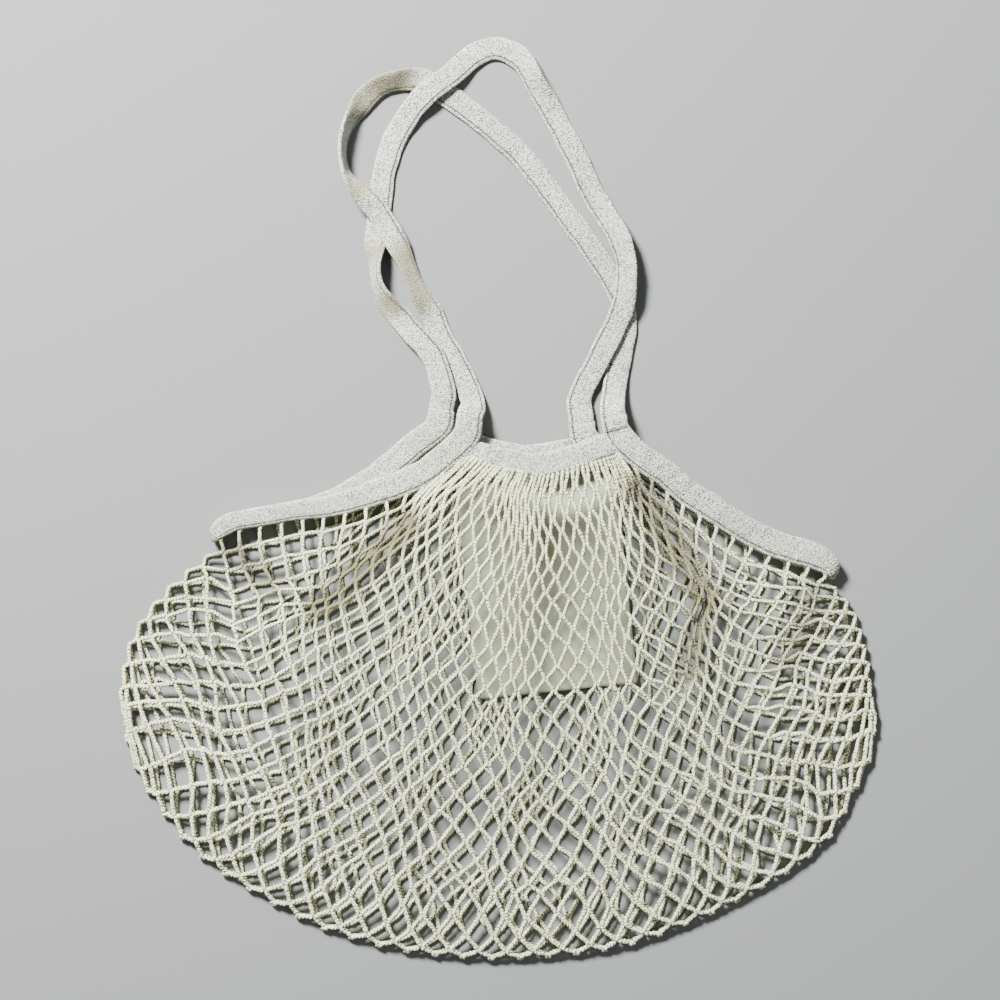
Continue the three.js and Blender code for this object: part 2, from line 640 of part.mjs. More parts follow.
const backLeft = bindingRun(BACK_LEFT_BAND, -1, () => BACK_BAND_Z);
const backRight = bindingRun(BACK_RIGHT_BAND, 1, () => BACK_BAND_Z);
const frontLeft = bindingRun(FRONT_LEFT_BAND, -1, sinking(FRONT_LEFT_BAND));
const frontRight = bindingRun(FRONT_RIGHT_BAND, 1, sinking(FRONT_RIGHT_BAND));
const frontMouth = mouthStations(FRONT_MOUTH_BAND, FRONT_MOUTH_Z);
const backMouth = mouthStations(BACK_MOUTH_BAND, BACK_BAND_Z);

const sideBand = (front, back) => strip([...front, ...turnOver(front, back), ...back.slice().reverse()]);

const cloth = (name, color) => new THREE.MeshStandardMaterial({ name, color, roughness: 0.93, metalness: 0 });
const cottonNet = cloth('cotton net', 0xd9d6c8);
const cottonTape = cloth('cotton tape', 0xcfd1c9);
const cottonLabel = cloth('cotton label', 0xd6d8cb);

const bag = new THREE.Group();

function add(name, geometry, material) {
  const mesh = new THREE.Mesh(geometry, material);
  mesh.name = name;
  bag.add(mesh);
}

add('net_back', netSolid(laidNet(netGrid(backLeft, backMouth, backRight, 0))), cottonNet);
add('net_front', netSolid(archedNet(netGrid(frontLeft, frontMouth, frontRight, FOLD_Z))), cottonNet);
add('back_mouth_band', strip(backMouth), cottonTape);
add('front_mouth_band', strip(frontMouth), cottonTape);
add('side_band_left', sideBand(frontLeft, backLeft), cottonTape);
add('side_band_right', sideBand(frontRight, backRight), cottonTape);
add('back_handle', strip(handleStations(backLeft, BACK_HANDLE, backRight)), cottonTape);
add('front_handle', strip(handleStations(frontLeft, FRONT_HANDLE, frontRight)), cottonTape);
add('inner_label', strip(labelStations()), cottonLabel);

export default bag;
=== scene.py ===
"""Net shopping bag, lying flat: knitted cords, bindings, handles and label on the fixed CAD frame."""

import bpy
import numpy as np
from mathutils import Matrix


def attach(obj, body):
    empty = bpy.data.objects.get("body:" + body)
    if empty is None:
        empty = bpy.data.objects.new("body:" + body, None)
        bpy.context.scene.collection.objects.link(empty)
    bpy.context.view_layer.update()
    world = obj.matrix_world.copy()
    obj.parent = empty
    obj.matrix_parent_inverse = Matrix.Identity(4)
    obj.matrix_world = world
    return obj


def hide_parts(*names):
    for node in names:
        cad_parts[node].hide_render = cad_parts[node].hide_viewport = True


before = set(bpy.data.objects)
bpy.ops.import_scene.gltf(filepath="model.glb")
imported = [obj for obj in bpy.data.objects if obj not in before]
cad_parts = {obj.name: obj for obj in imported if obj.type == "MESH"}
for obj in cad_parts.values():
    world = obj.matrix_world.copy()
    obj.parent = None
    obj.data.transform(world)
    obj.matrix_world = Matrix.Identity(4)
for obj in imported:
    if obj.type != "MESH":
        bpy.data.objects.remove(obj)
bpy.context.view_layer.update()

bl_info = {
    "name": "Net shopping bag",
    "version": (1, 0, 0),
    "blender": (4, 5, 0),
    "location": "3D View > Sidebar > Net bag",
    "description": "Knitted cotton net bag, laid flat, with its bindings, two handles and inner label",
    "category": "Add Mesh",
}

MM = 0.001

# Places on the bag, as shares of its driving sizes
# Bindings, mouth to corner: across, down, sink (0 at the mouth's height, 1 at the corner's), width
PULLED_TIGHT = 0.72
FRONT_LEFT_BAND = (
    (-0.036, -0.045, 0, 1), (-0.041, -0.014, 0, 1), (-0.0625, 0.019, 0, 1),
    (-0.093, 0.054, 0.3, 1), (-0.128, 0.08, 0.6, 1), (-0.168, 0.099, 0.8, 0.95),
    (-0.207, 0.117, 0.92, 0.85), (-0.26, 0.13, 1, PULLED_TIGHT), (-0.3125, 0.142, 1, PULLED_TIGHT),
    (-0.346, 0.152, 1, PULLED_TIGHT), (-0.368, 0.168, 1, PULLED_TIGHT),
)

FRONT_RIGHT_BAND = (
    (0.1515, -0.05, 0, 1), (0.157, -0.018, 0, 1), (0.1875, 0.027, 0, 1), (0.219, 0.058, 0.35, 1),
    (0.247, 0.093, 0.65, 1), (0.281, 0.126, 0.85, 1), (0.318, 0.161, 1, 1), (0.356, 0.19, 1, 1),
    (0.393, 0.208, 1, 1), (0.42, 0.221, 1, 0.95), (0.438, 0.236, 1, 0.9),
)

BACK_LEFT_BAND = (
    (-0.0735, -0.064, 1), (-0.078, -0.034, 1), (-0.115, 0.01, 1), (-0.149, 0.054, 1),
    (-0.184, 0.089, 1), (-0.22, 0.113, 0.9), (-0.266, 0.13, PULLED_TIGHT),
    (-0.3125, 0.142, PULLED_TIGHT), (-0.346, 0.152, PULLED_TIGHT), (-0.368, 0.168, PULLED_TIGHT),
)

BACK_RIGHT_BAND = (
    (0.1107, -0.04, 1), (0.114, -0.01, 1), (0.14, 0.018, 1), (0.1875, 0.045, 1), (0.247, 0.101, 1),
    (0.318, 0.165, 1), (0.393, 0.211, 1), (0.42, 0.222, 0.95), (0.438, 0.236, 0.9),
)

FRONT_MOUTH_BAND = (
    (-0.031, 0.021, -40), (-0.012, 0.0295, 0), (0.0165, 0.039, 0), (0.045, 0.045, 0),
    (0.069, 0.043, 0), (0.098, 0.029, 0), (0.12, 0.0185, 0), (0.1395, 0.009, 42),
)

BACK_MOUTH_BAND = (
    (-0.041, 0.0, -20), (-0.014, 0.014, 0), (0.023, 0.026, 0), (0.056, 0.027, 0),
    (0.086, 0.019, 15),
)

LEFT_FOLD = (
    (-0.381, 0.206), (-0.423, 0.254), (-0.453, 0.299), (-0.478, 0.35), (-0.493, 0.402),
    (-0.5, 0.476), (-0.497, 0.522), (-0.491, 0.573),
)

RIGHT_FOLD = (
    (0.452, 0.28), (0.465, 0.303), (0.477, 0.334), (0.485, 0.373), (0.492, 0.417), (0.497, 0.474),
    (0.5, 0.522), (0.5, 0.559),
)

BOTTOM_FOLD = (
    (-0.491, 0.573), (-0.474, 0.643), (-0.444, 0.712), (-0.395, 0.798), (-0.325, 0.868),
    (-0.246, 0.932), (-0.152, 0.978), (-0.039, 1), (0.041, 1), (0.164, 0.978), (0.255, 0.931),
    (0.335, 0.874), (0.4, 0.815), (0.442, 0.757), (0.472, 0.676), (0.495, 0.6), (0.5, 0.559),
)

VALLEYS = (
    (0.19, 0.09, 0.27, 0.3, 0.024, 0.41), (0.27, 0.3, 0.25, 0.44, 0.026, 0.29),
    (-0.12, 0.16, -0.23, 0.32, 0.026, 0.35), (-0.35, 0.2, -0.3, 0.27, 0.026, 0.29),
    (0.42, 0.3, 0.38, 0.42, 0.026, 0.235),
)

BACK_HANDLE = (
    (-0.152, 0.1175, 1, 0), (-0.165, 0.1625, 1.25, 0), (-0.183, 0.2075, 1.15, 0),
    (-0.22, 0.25, 1.3, 0), (-0.267, 0.285, 0.9, 0), (-0.297, 0.3125, 0.1, -10),
    (-0.353, 0.36, 0, -45), (-0.377, 0.4075, 0, -66), (-0.383, 0.455, 0, -55),
    (-0.38, 0.51, 0, -8), (-0.37, 0.57, 0, 0), (-0.357, 0.65, 0, 0), (-0.34, 0.7175, 0, 0),
    (-0.313, 0.7675, 0, 0), (-0.273, 0.8175, 0.5, 0), (-0.22, 0.865, 1.4, 0),
    (-0.15, 0.905, 1.4, 0), (-0.093, 0.9425, 0.5, 0), (-0.033, 0.9775, 0, 0),
    (0.023, 0.9875, 0, 0), (0.1, 0.9625, 0, 10), (0.14, 0.9125, 0, 35), (0.177, 0.8625, 0, 15),
    (0.217, 0.8125, 0, 0), (0.287, 0.7125, 0, 0), (0.35, 0.6125, 0.1, 0), (0.39, 0.5625, 0.6, 10),
    (0.427, 0.5125, 1.15, 25), (0.45, 0.4575, 1.2, 32), (0.453, 0.3875, 1.2, 25),
    (0.433, 0.3225, 1.2, 0), (0.393, 0.2575, 1.15, 0), (0.353, 0.2, 1.1, 0),
    (0.313, 0.1425, 0.6, 0), (0.293, 0.1, 0.3, 0),
)

FRONT_HANDLE = (
    (-0.053, 0.0875, 1.7, 0), (-0.072, 0.1375, 0.1, 0), (-0.11, 0.2, 0, 0), (-0.163, 0.2625, 0, 0),
    (-0.193, 0.325, 0, 10), (-0.227, 0.365, 0, 35), (-0.257, 0.41, 0, 45),
    (-0.283, 0.4575, 0.3, 42), (-0.32, 0.51, 1.6, 8), (-0.347, 0.5475, 1.4, 0),
    (-0.377, 0.5825, 1.4, 0), (-0.413, 0.6125, 1.3, 15), (-0.457, 0.6475, 0.3, 58),
    (-0.48, 0.68, 0, 76), (-0.49, 0.72, 0, 78), (-0.485, 0.7625, 0, 75), (-0.458, 0.8125, 0, 58),
    (-0.413, 0.8625, 0, 25), (-0.367, 0.89, 0, 38), (-0.3, 0.904, 0, 40), (-0.23, 0.9075, 0, 0),
    (-0.167, 0.8825, 0, 0), (-0.1, 0.8475, 0, 0), (-0.04, 0.8125, 0, 0), (0.043, 0.7625, 0, 0),
    (0.11, 0.7125, 0, 0), (0.215, 0.6125, 0, 0), (0.313, 0.5125, 0, 0), (0.36, 0.4625, 0, 0),
    (0.403, 0.4125, 0, 0), (0.437, 0.3625, 0, 0), (0.45, 0.3125, 0, 0), (0.447, 0.2625, 0, 0),
    (0.433, 0.2075, 0, 0), (0.417, 0.155, 0.35, 0), (0.407, 0.1075, 1.8, 0),
)

# Middle of the label's top as shares of the belly, and its lean in degrees
LABEL_ACROSS, LABEL_DOWN, LABEL_TURN = 0.05, 0.068, 6.0

# Heights of the lying bag
LABEL_T = 0.8 * MM
NET_T = 2.4 * MM               # thickness of the knitted net
CLEAR = 0.3 * MM
MOUTH_GAP = 5.4 * MM           # open height between the two mouth bands
BELLY_RISE = 17 * MM           # how far the upper net stands over a line from the mouth to the fold
GATHER_DEPTH = 1.6 * MM
GATHERS = 7
VALLEY_PULL = 0.4              # how far the cords draw together into a valley
FOLD_REACH = 2.4 * MM          # from a knot at the fold to the outside of its cord
HEM = -0.72                    # the sewn line, as a share of the tape's half width
BOUND = 1 * MM                 # how far the net's edge reaches into a binding
CORNER_ROUND = 9 * MM          # the binding's outer corner, where it turns over
NET_JOIN = 0.13                # share of a side binding's run that lies above the net

# The net: a grid whose knots are where column plus row is even
COLUMNS = 66                   # wales, which are the cords that run down the bag
ROWS = 32                      # half meshes from the mouth to the bottom fold
PARTS = (("left", 0, 22), ("middle", 22, 44), ("right", 44, 66))  # wales of each piece of the net
CUT = 12                       # half meshes that the open slit beside a handle runs past
# How far the first columns from a side, and the first rows from the bottom, go out to that edge
SIDE_PULL = (0.52, 0.42, 0.33, 0.25, 0.18, 0.12, 0.07, 0.03)
BOTTOM_PULL = (0.62, 0.34, 0.15)
SETTLE_SWEEPS = 2500           # passes that spread the knots evenly
PULL_SWEEPS = 900              # passes that even out the cords between them
LONG_PULL, SHORT_PULL = 0.9, 0.12   # pull of a cord that is too long, and of one too short
PULL_STEP, EASE_STEP = 0.22, 0.12   # how far a knot goes by the pull and towards its neighbours' mean
DRIFTS = ((20 * MM, 1.1 * MM), (60 * MM, 2.4 * MM))  # length and height of the net's stray waves
LOWER_SHIFT = (4.5 * MM, -3 * MM)   # the lower net shows through the meshes of the upper

# One cord; TOUCH, CROWD and SWELL are shares of its width
TOUCH = 0.37                   # how far it lies beside a knot
CROWD = (1.3, 2.6)             # neighbours closer than the first are crowded, beyond the second not
BOUND_END = 3.5 * MM           # its start within a binding
FOLD_OUT, FOLD_TURN = 1.35 * MM, 2.1 * MM   # how far it goes out at the fold, and how round
SWELL = (1.2, 0.96)            # width at the bottom and from the middle of the bag up

# Handles: roll at which a tape shows its shaded side, spread of that, both degrees, and how much
LEAN, LEAN_SPREAD, LEAN_SHADE = 38, 24, 0.27


def smooth(x, low=0.0, high=1.0):
    """Smooth step: 0 below low, 1 above high, and 3t^2 - 2t^3 between them."""
    t = np.clip((x - low) / (high - low), 0, 1)
    return t * t * (3 - 2 * t)


def mix(a, b, share):
    """a at share 0 and b at share 1."""
    return a + (b - a) * share


def unit(vectors):
    """Vectors made one long."""
    return vectors / (np.linalg.norm(vectors, axis=-1, keepdims=True) + 1e-12)


def cubic(a, b, leave, reach, steps):
    """Cubic Hermite spans from each a to its b, leaving and reaching them along their tangents."""
    t = (np.arange(steps) / steps)[None, :, None]
    line = a * (2 * t ** 3 - 3 * t ** 2 + 1) + b * (3 * t ** 2 - 2 * t ** 3)
    line = line + leave * (t ** 3 - 2 * t ** 2 + t) + reach * (t ** 3 - t ** 2)
    return line.reshape(-1, a.shape[-1])


def smooth_line(rows, dims=2, per_span=16):
    """Centripetal Catmull-Rom line: between two rows, a cubic that also heeds the row before and after.

    The rows are as far apart in its parameter as the root of their distance over the first dims columns,
    so that a short span next to a long one makes no loop."""
    rows = np.asarray(rows, float)
    rows = np.vstack([2 * rows[0] - rows[1], rows, 2 * rows[-1] - rows[-2]])
    gaps = np.sqrt(np.linalg.norm(np.diff(rows[:, :dims], axis=0), axis=1) + 1e-12)[:, None, None]
    before, here, after = gaps[:-2], gaps[1:-1], gaps[2:]
    a, b, c, d = (rows[k:len(rows) - 3 + k, None, :] for k in range(4))
    leave = ((b - a) / before - (c - a) / (before + here) + (c - b) / here) * here
    reach = ((c - b) / here - (d - b) / (here + after) + (d - c) / after) * here
    return np.vstack([cubic(b, c, leave, reach, per_span), rows[-2:-1]])


def eased(line, passes):
    """Line whose inner rows have gone, passes times, half way to the mean of their two neighbours."""
    line = line.copy()
    for _ in range(passes):
        line[1:-1] = line[1:-1] / 2 + (line[:-2] + line[2:]) / 4
    return line


def lengths(line, dims=3):
    """Way along a line to each of its rows, measured over the first dims columns."""
    return np.r_[0, np.cumsum(np.linalg.norm(np.diff(line[:, :dims], axis=0), axis=1))]


def at_share(line, share, dims=2):
    """Rows of a line at shares of its length, which is measured over the first dims columns."""
    along = lengths(line, dims)
    where = np.asarray(share) * along[-1]
    return np.stack([np.interp(where, along, column) for column in line.T], -1)


def on_net(sizes, rows):
    """A table whose first two columns are shares of the belly, as places on the surface."""
    table = np.array(rows, float)
    table[:, 0] *= sizes.belly_width
    table[:, 1] = sizes.mouth_place - table[:, 1] * sizes.belly_length
    return table


def left_of(line):
    """Level unit vectors to the left of a line: each heading, turned by a quarter."""
    heading = np.gradient(line[:, :2], axis=0)
    return unit(np.c_[-heading[:, 1], heading[:, 0], np.zeros(len(line))])


# Strips of tape

class Run:
    """Stations of a tape: middles, unit directions across it, widths and thicknesses."""

    def __init__(self, at, across, width, thick):
        """Takes one width and thickness for all stations, or one for each."""
        self.at, self.across = at, across
        self.width = np.broadcast_to(width, len(at)).astype(float)
        self.thick = np.broadcast_to(thick, len(at)).astype(float)

    def inner_edge(self):
        """Line on the net's side, half the width less BOUND from the middle."""
        return self.at - self.across * (self.width / 2 - BOUND)[:, None]


def heights(sizes):
    """Middles of the back bindings, of the front mouth band, and of the front bindings at the corner.

    Each is the thickness and the gaps beneath it, plus half a binding."""
    band = band_thickness(sizes)
    back = band / 2
    return back, band + MOUTH_GAP + band / 2, back + band + 2 * CLEAR


def band_thickness(sizes):
    """A binding holds the net between two plies of tape: twice the ply plus the net."""
    return 2 * sizes.tape_ply + NET_T


def side_run(sizes, rows, side, front, stations=90):
    """Half a side binding: the smooth line of its table, as high as its sink says.

    In front, sink mixes the height from the mouth band's to the corner's; the back lies level."""
    back_z, mouth_z, corner_z = heights(sizes)
    table = at_share(smooth_line(on_net(sizes, rows)), np.linspace(0, 1, stations))
    z = mix(mouth_z, corner_z, np.clip(table[:, 2], 0, 1)) if front else np.full(stations, back_z)
    at = np.c_[table[:, :2], z]
    return Run(at, left_of(at) * side, table[:, -1] * sizes.binding_width, band_thickness(sizes))


def whole_binding(front, back, steps=14):
    """Front run, half a circle over the corner, and the back run beneath it, as one tape.

    Near the corner the width follows a quarter of a circle, from 0.35 to the full width."""
    heading = unit(front.at[-1] - front.at[-2])
    middle = (front.at[-1] + back.at[-1]) / 2
    radius = (front.at[-1, 2] - back.at[-1, 2]) / 2
    share = np.arange(1, steps)[:, None] / steps
    turn = middle + radius * np.sin(np.pi * share) * heading * (1, 1, 0)
    turn[:, 2:] = middle[2] + radius * np.cos(np.pi * share)
    across = unit(mix(front.across[-1], back.across[-1], share))
    width = mix(front.width[-1], back.width[-1], share[:, 0])
    at = np.vstack([front.at, turn, back.at[::-1]])
    across = np.vstack([front.across, across, back.across[::-1]])
    width = np.r_[front.width, width, back.width[::-1]]
    near = np.clip(((middle + heading * radius - at) * heading * (1, 1, 0)).sum(-1) / CORNER_ROUND, 0, 1)
    round_width = width * mix(0.35, 1, np.sqrt(1 - (1 - near) ** 2))
    at = at - across * ((width - round_width) / 2)[:, None]
    return Run(at, across, round_width, front.thick[0])


def mouth_run(sizes, rows, z, stations=70, reach=7 * MM):
    """Mouth band: the line of its table, run on beneath the side bindings, thinner and lower there.

    Its crosswise direction turns about the band's own line by the table's skew."""
    table = eased(at_share(smooth_line(on_net(sizes, rows)), np.linspace(0, 1, stations)), 60)
    share = np.linspace(0, 1, stations)
    at = np.c_[table[:, :2], np.full(stations, z)]
    across = left_of(at)
    skew = np.radians(table[:, 2])[:, None]
    across = across * np.cos(skew) + np.cross((0, 0, 1), across) * np.sin(skew)
    first, last = unit(at[0] - at[3]), unit(at[-1] - at[-4])
    at = np.vstack([at[0] + first * reach, at, at[-1] + last * reach])
    across = np.vstack([across[0], across, across[-1]])
    share = np.r_[0, share, 1]
    ends = 1 - smooth(share, 0, 0.1) * smooth(1 - share, 0, 0.1)
    at[:, 2] -= 0.5 * MM * ends
    return Run(at, across, sizes.binding_width, band_thickness(sizes) * (1 - 0.22 * ends))


def lying_height(sizes, roll, over):
    """Height of the middle of a handle tape on the surface, turned by roll and lifted over others.

    Half of sine of roll times its width plus cosine times its thickness; over counts tapes beneath."""
    thick = 2 * sizes.tape_ply
    turn = np.abs(np.radians(roll))
    flat = (np.sin(turn) * sizes.handle_width + np.cos(turn) * thick) / 2
    return flat + over * (thick + CLEAR)


def handle_run(sizes, left, rows, right, stations=360):
    """Handle from the mouth end of one binding to that of the other, along its table.

    It turns by the table's roll and narrows from the binding to the handle over its first share.
    Its shade is a bell curve of the roll around LEAN, on the left side of the bag alone."""
    table = np.array(rows, float)
    place = np.c_[
        sizes.handle_middle + table[:, 0] * sizes.handle_span,
        sizes.mouth_place + table[:, 1] * sizes.handle_rise,
        lying_height(sizes, table[:, 3], table[:, 2]),
        table[:, 3],
    ]

    def leave(run, far):
        """Point straight on from the end of a binding."""
        heading = unit((run.at[0] - run.at[2]) * (1, 1, 0))
        return np.r_[run.at[0] + heading * far, 0]

    def inside(run):
        """Points where the handle's end lies within a binding."""
        return at_share(np.c_[run.at, 0 * run.width], (0.05, 0.035, 0.018), 3)

    ends = band_thickness(sizes)
    line = np.vstack([leave(left, 0), leave(left, ends), place, leave(right, ends), leave(right, 0)])
    line = at_share(smooth_line(line, 3), np.linspace(0, 1, stations), 3)
    line[:, 2] = np.maximum(line[:, 2], lying_height(sizes, line[:, 3], 0))
    line = eased(line, 6)
    line = np.vstack([inside(left), line, inside(right)[::-1]])
    roll = np.radians(line[:, 3:])
    across = left_of(line) * np.cos(roll) + np.array((0, 0, 1)) * np.sin(roll)
    share = np.linspace(0, 1, len(line))
    inner = smooth(np.minimum(share, 1 - share), 0.01, 0.045)
    width = mix(sizes.binding_width * 0.97, sizes.handle_width, inner)
    thick = mix(band_thickness(sizes) * 0.95, 2 * sizes.tape_ply, inner)
    run = Run(line[:, :3], across, width, thick)
    # The shade darkens the tape's colour: painted shade where it leans over.
    leaning = np.exp(-(((np.abs(line[:, 3]) - LEAN) / LEAN_SPREAD) ** 2))
    run.shade = LEAN_SHADE * leaning * (1 - smooth(line[:, 0], -0.02, 0.03))
    return run


def tape_section(points=18):
    """Flat rounded band as a ring of (across, up) in half sizes, with the groove of its hem line.

    up is (1 - |x|^7)^(1/2.2), pressed in by a bell curve at HEM on both faces."""
    x = np.cos(np.linspace(0, np.pi, points))
    x = np.sign(x) * np.abs(x) ** 0.8
    up = (1 - np.abs(x) ** 7) ** (1 / 2.2)
    up = up * (1 - 0.22 * np.exp(-((x - HEM) / 0.07) ** 2))
    return np.vstack([np.c_[x, up], np.c_[x[-2:0:-1], -up[-2:0:-1]]])


def sweep_tape(run, seed):
    """Rings of a tape: its section at each station, with edges that wander by about 0.3 mm.

    Width, thickness and sideways place each add a smooth noise of the length, which fades at the ends."""
    heading = unit(np.gradient(run.at, axis=0))
    up = unit(np.cross(heading, run.across))
    side = np.cross(up, heading)
    length = lengths(run.at)
    section = tape_section()
    ends = smooth(np.minimum(length, length[-1] - length), 0, 8 * MM)
    width = run.width * (1 + 0.035 * wander(length, 26 * MM, seed) * ends)
    thick = run.thick * (1 + 0.10 * wander(length, 17 * MM, seed + 1) * ends)
    lean = 0.25 * MM * wander(length, 40 * MM, seed + 2) * ends
    x = section[None, :, :1] * width[:, None, None] / 2 + lean[:, None, None]
    y = section[None, :, 1:] * thick[:, None, None] / 2
    rings = run.at[:, None] + side[:, None] * x + up[:, None] * y
    around = (section[:, 0] + 1) * run.width.max() / 2
    around[len(around) // 2 + 1:] *= -1
    return rings, length, np.r_[around, -around[0]]


def wander(length, wave, seed):
    """Smooth noise from -1 to 1 along a length: four sines with seeded phases, waves about wave long."""
    rng = np.random.default_rng(seed)
    total = np.zeros_like(length)
    for scale in (0.55, 0.83, 1.27, 2.1):
        total += np.sin(2 * np.pi * length / (wave * scale) + rng.uniform(0, 2 * np.pi))
    return total / 2.6


# The net

def drift(place, seed, waves):
    """Smooth level displacement of places: for each wave length and height, seeded sines two ways."""
    rng = np.random.default_rng(seed)
    moved = np.zeros_like(place)
    for wave, height in waves:
        for _ in range(3):
            turn, phase = rng.uniform(0, 2 * np.pi, 2)
            ray = np.array((np.cos(turn), np.sin(turn))) * 2 * np.pi / wave
            way = rng.normal(size=place.shape[-1])
            moved += np.sin(place[..., :2] @ ray + phase)[..., None] * way * height / 2
    return moved


def neighbours(grid):
    """Mean of the four neighbours of each inner knot."""
    return (grid[:-2, 1:-1] + grid[2:, 1:-1] + grid[1:-1, :-2] + grid[1:-1, 2:]) / 4


def settle(sizes, left_run, mouth, right_run, fold_z):
    """Knots of one side of the net, (ROWS + 1, COLUMNS + 1, 3), and the mask of those that exist.

    The edges are held: mouth in its band, slits in the side bindings, sides and bottom at the fold.
    Each inner knot first goes to the mean of its four neighbours; then the cords between knots pull
    towards one leg length, hard when too long and softly when too short, while the mean still eases."""
    skip = int(len(left_run.at) * NET_JOIN)
    left, right = left_run.inner_edge()[skip:], right_run.inner_edge()[skip:]
    band = mouth.inner_edge()
    inset = len(band) // 7
    top = np.vstack([left[:1], band[inset:-inset], right[:1]])

    def fold(rows, outward):
        """Line of knots along the fold, moved inwards by the reach of a cord."""
        line = smooth_line(on_net(sizes, rows))
        line = np.c_[line, np.full(len(line), fold_z)]
        return line - left_of(line) * FOLD_REACH * outward

    left_fold, right_fold = fold(LEFT_FOLD, -1), fold(RIGHT_FOLD, 1)
    bottom = fold(BOTTOM_FOLD, -1)
    bottom[0], bottom[-1] = left_fold[-1], right_fold[-1]
    sides = [np.vstack([edge[-1:], line]) for edge, line in ((left, left_fold), (right, right_fold))]

    grid = np.zeros((ROWS + 1, COLUMNS + 1, 3))
    i, j = np.arange(COLUMNS + 1)[None, :], np.arange(ROWS + 1)[:, None]
    depth = np.minimum(i + j, COLUMNS - i + j) - CUT
    down = np.arange(CUT + 1)
    held = np.linspace(0, 1, CUT + 1)
    grid[CUT:, 0] = at_share(sides[0], np.linspace(0, 1, ROWS - CUT + 1))
    grid[CUT:, -1] = at_share(sides[1], np.linspace(0, 1, ROWS - CUT + 1))
    grid[-1] = at_share(bottom, np.linspace(0, 1, COLUMNS + 1))
    grid[0, CUT:COLUMNS - CUT + 1] = at_share(top, np.linspace(0, 1, COLUMNS - 2 * CUT + 1))
    grid[down, CUT - down] = at_share(left, held)
    grid[down, COLUMNS - CUT + down] = at_share(right, held)
    free = (depth > 0) & (i > 0) & (i < COLUMNS) & (j > 0) & (j < ROWS)
    grid[free] = (0, sizes.mouth_place - sizes.belly_length / 3, fold_z)
    free, inner = free[1:-1, 1:-1, None], grid[1:-1, 1:-1]
    for _ in range(SETTLE_SWEEPS):
        inner[:] = np.where(free, neighbours(grid), inner)
    pulled(grid, free, depth >= 0, sizes.leg)
    for k, share in enumerate(SIDE_PULL, 1):
        for column in (k, COLUMNS - k):
            edge = grid[CUT + k + 1:-1, 0 if column == k else -1]
            grid[CUT + k + 1:-1, column] = mix(grid[CUT + k + 1:-1, column], edge, share)
    for k, share in enumerate(BOTTOM_PULL, 1):
        grid[-1 - k, k + 1:-1 - k] = mix(grid[-1 - k, k + 1:-1 - k], grid[-1, k + 1:-1 - k], share)
    return grid, depth


def pulled(grid, free, exists, leg):
    """Evens out the legs of the net, level only: knots move along both diagonals' cords.

    Each cord pulls its two knots by its length beyond one leg; each knot also eases to its neighbours."""
    level = grid[..., :2]
    inner = level[1:-1, 1:-1]
    diagonals = ((np.s_[:-1, :-1], np.s_[1:, 1:]), (np.s_[:-1, 1:], np.s_[1:, :-1]))
    for _ in range(PULL_SWEEPS):
        move = np.zeros_like(level)
        for a, b in diagonals:
            span = level[b] - level[a]
            far = np.linalg.norm(span, axis=-1, keepdims=True) + 1e-9
            extra = far - leg
            force = np.where(extra > 0, LONG_PULL, SHORT_PULL) * extra * span / far
            force = np.where((exists[a] & exists[b])[..., None], force, 0)
            move[a] += force
            move[b] -= force
        inner += np.where(free, PULL_STEP * move[1:-1, 1:-1] + EASE_STEP * (neighbours(level) - inner), 0)


def valleys(sizes, place):
    """Depth of the valleys at places, and the level way to the nearest valley's line where cords bunch.

    Depth is the deepest bell curve of the distance to each line; the way fades with a bell twice as wide."""
    depth, way = np.zeros(place.shape[:-1]), np.zeros(place.shape[:-1] + (2,))
    for across, down, to_across, to_down, width, deep in VALLEYS:
        a, b = on_net(sizes, ((across, down), (to_across, to_down)))
        share = np.clip(((place[..., :2] - a) @ (b - a)) / ((b - a) @ (b - a)), 0, 1)
        gap = a + share[..., None] * (b - a) - place[..., :2]
        away = np.linalg.norm(gap, axis=-1) / (width * sizes.belly_width)
        depth = np.maximum(depth, deep * BELLY_RISE * np.exp(-(away ** 2)))
        way += gap * np.exp(-((away / 2) ** 2))[..., None]
    return depth, way


def arched(sizes, grid, depth):
    """Upper net: a vault that is steep at the fold and flat on top, with gathers and valleys in it.

    The vault is BELLY_RISE times sines of the share across, s, and down, t, both to the power 0.7. A
    gather adds a cosine of s where t is low, and a valley takes its depth away. Known fault: t counts
    from the slits and not from the mouth, so the mouth's own row is lifted off the front mouth band."""
    i, j = np.arange(COLUMNS + 1)[None, :], np.arange(ROWS + 1)[:, None]
    s = i / COLUMNS + 0 * j
    deep = np.maximum(depth, 0)
    t = deep / (deep + ROWS - j + 1e-9)
    vault = np.sin(np.pi * s) ** 0.7 * np.clip(np.sin(np.pi * t ** 0.8), 0, 1) ** 0.7
    gather = GATHER_DEPTH * np.cos(2 * np.pi * GATHERS * s) * (1 - smooth(t, 0, 0.35)) * (t > 0)
    depth, way = valleys(sizes, grid)
    full = smooth(vault, 0, 0.4)
    grid[..., 2] += BELLY_RISE * vault + gather - depth * full
    grid[..., :2] += VALLEY_PULL * way * full[..., None]
    grid[..., 2] = np.maximum(grid[..., 2], 1.5 * NET_T + CLEAR)


def laid(grid, depth, back_z):
    """Lower net: flat on the surface, lifted only next to its bound edges.

    The lift fades by e to the power -0.9 for each row away from the slits."""
    lift = np.exp(-0.9 * np.maximum(depth, 0)) * (grid[..., 2] > back_z * 0.6)
    grid[..., 2] = mix(NET_T / 2, back_z, lift)


def extended(grid):
    """Fills the first place outside each slit by going on in a straight line, for the cords' headings."""
    for j in range(CUT + 1):
        left, right = CUT - j, COLUMNS - CUT + j
        if left > 0:
            grid[j, left - 1] = 2 * grid[j, left] - grid[j, left + 1]
            grid[j, right + 1] = 2 * grid[j, right] - grid[j, right - 1]


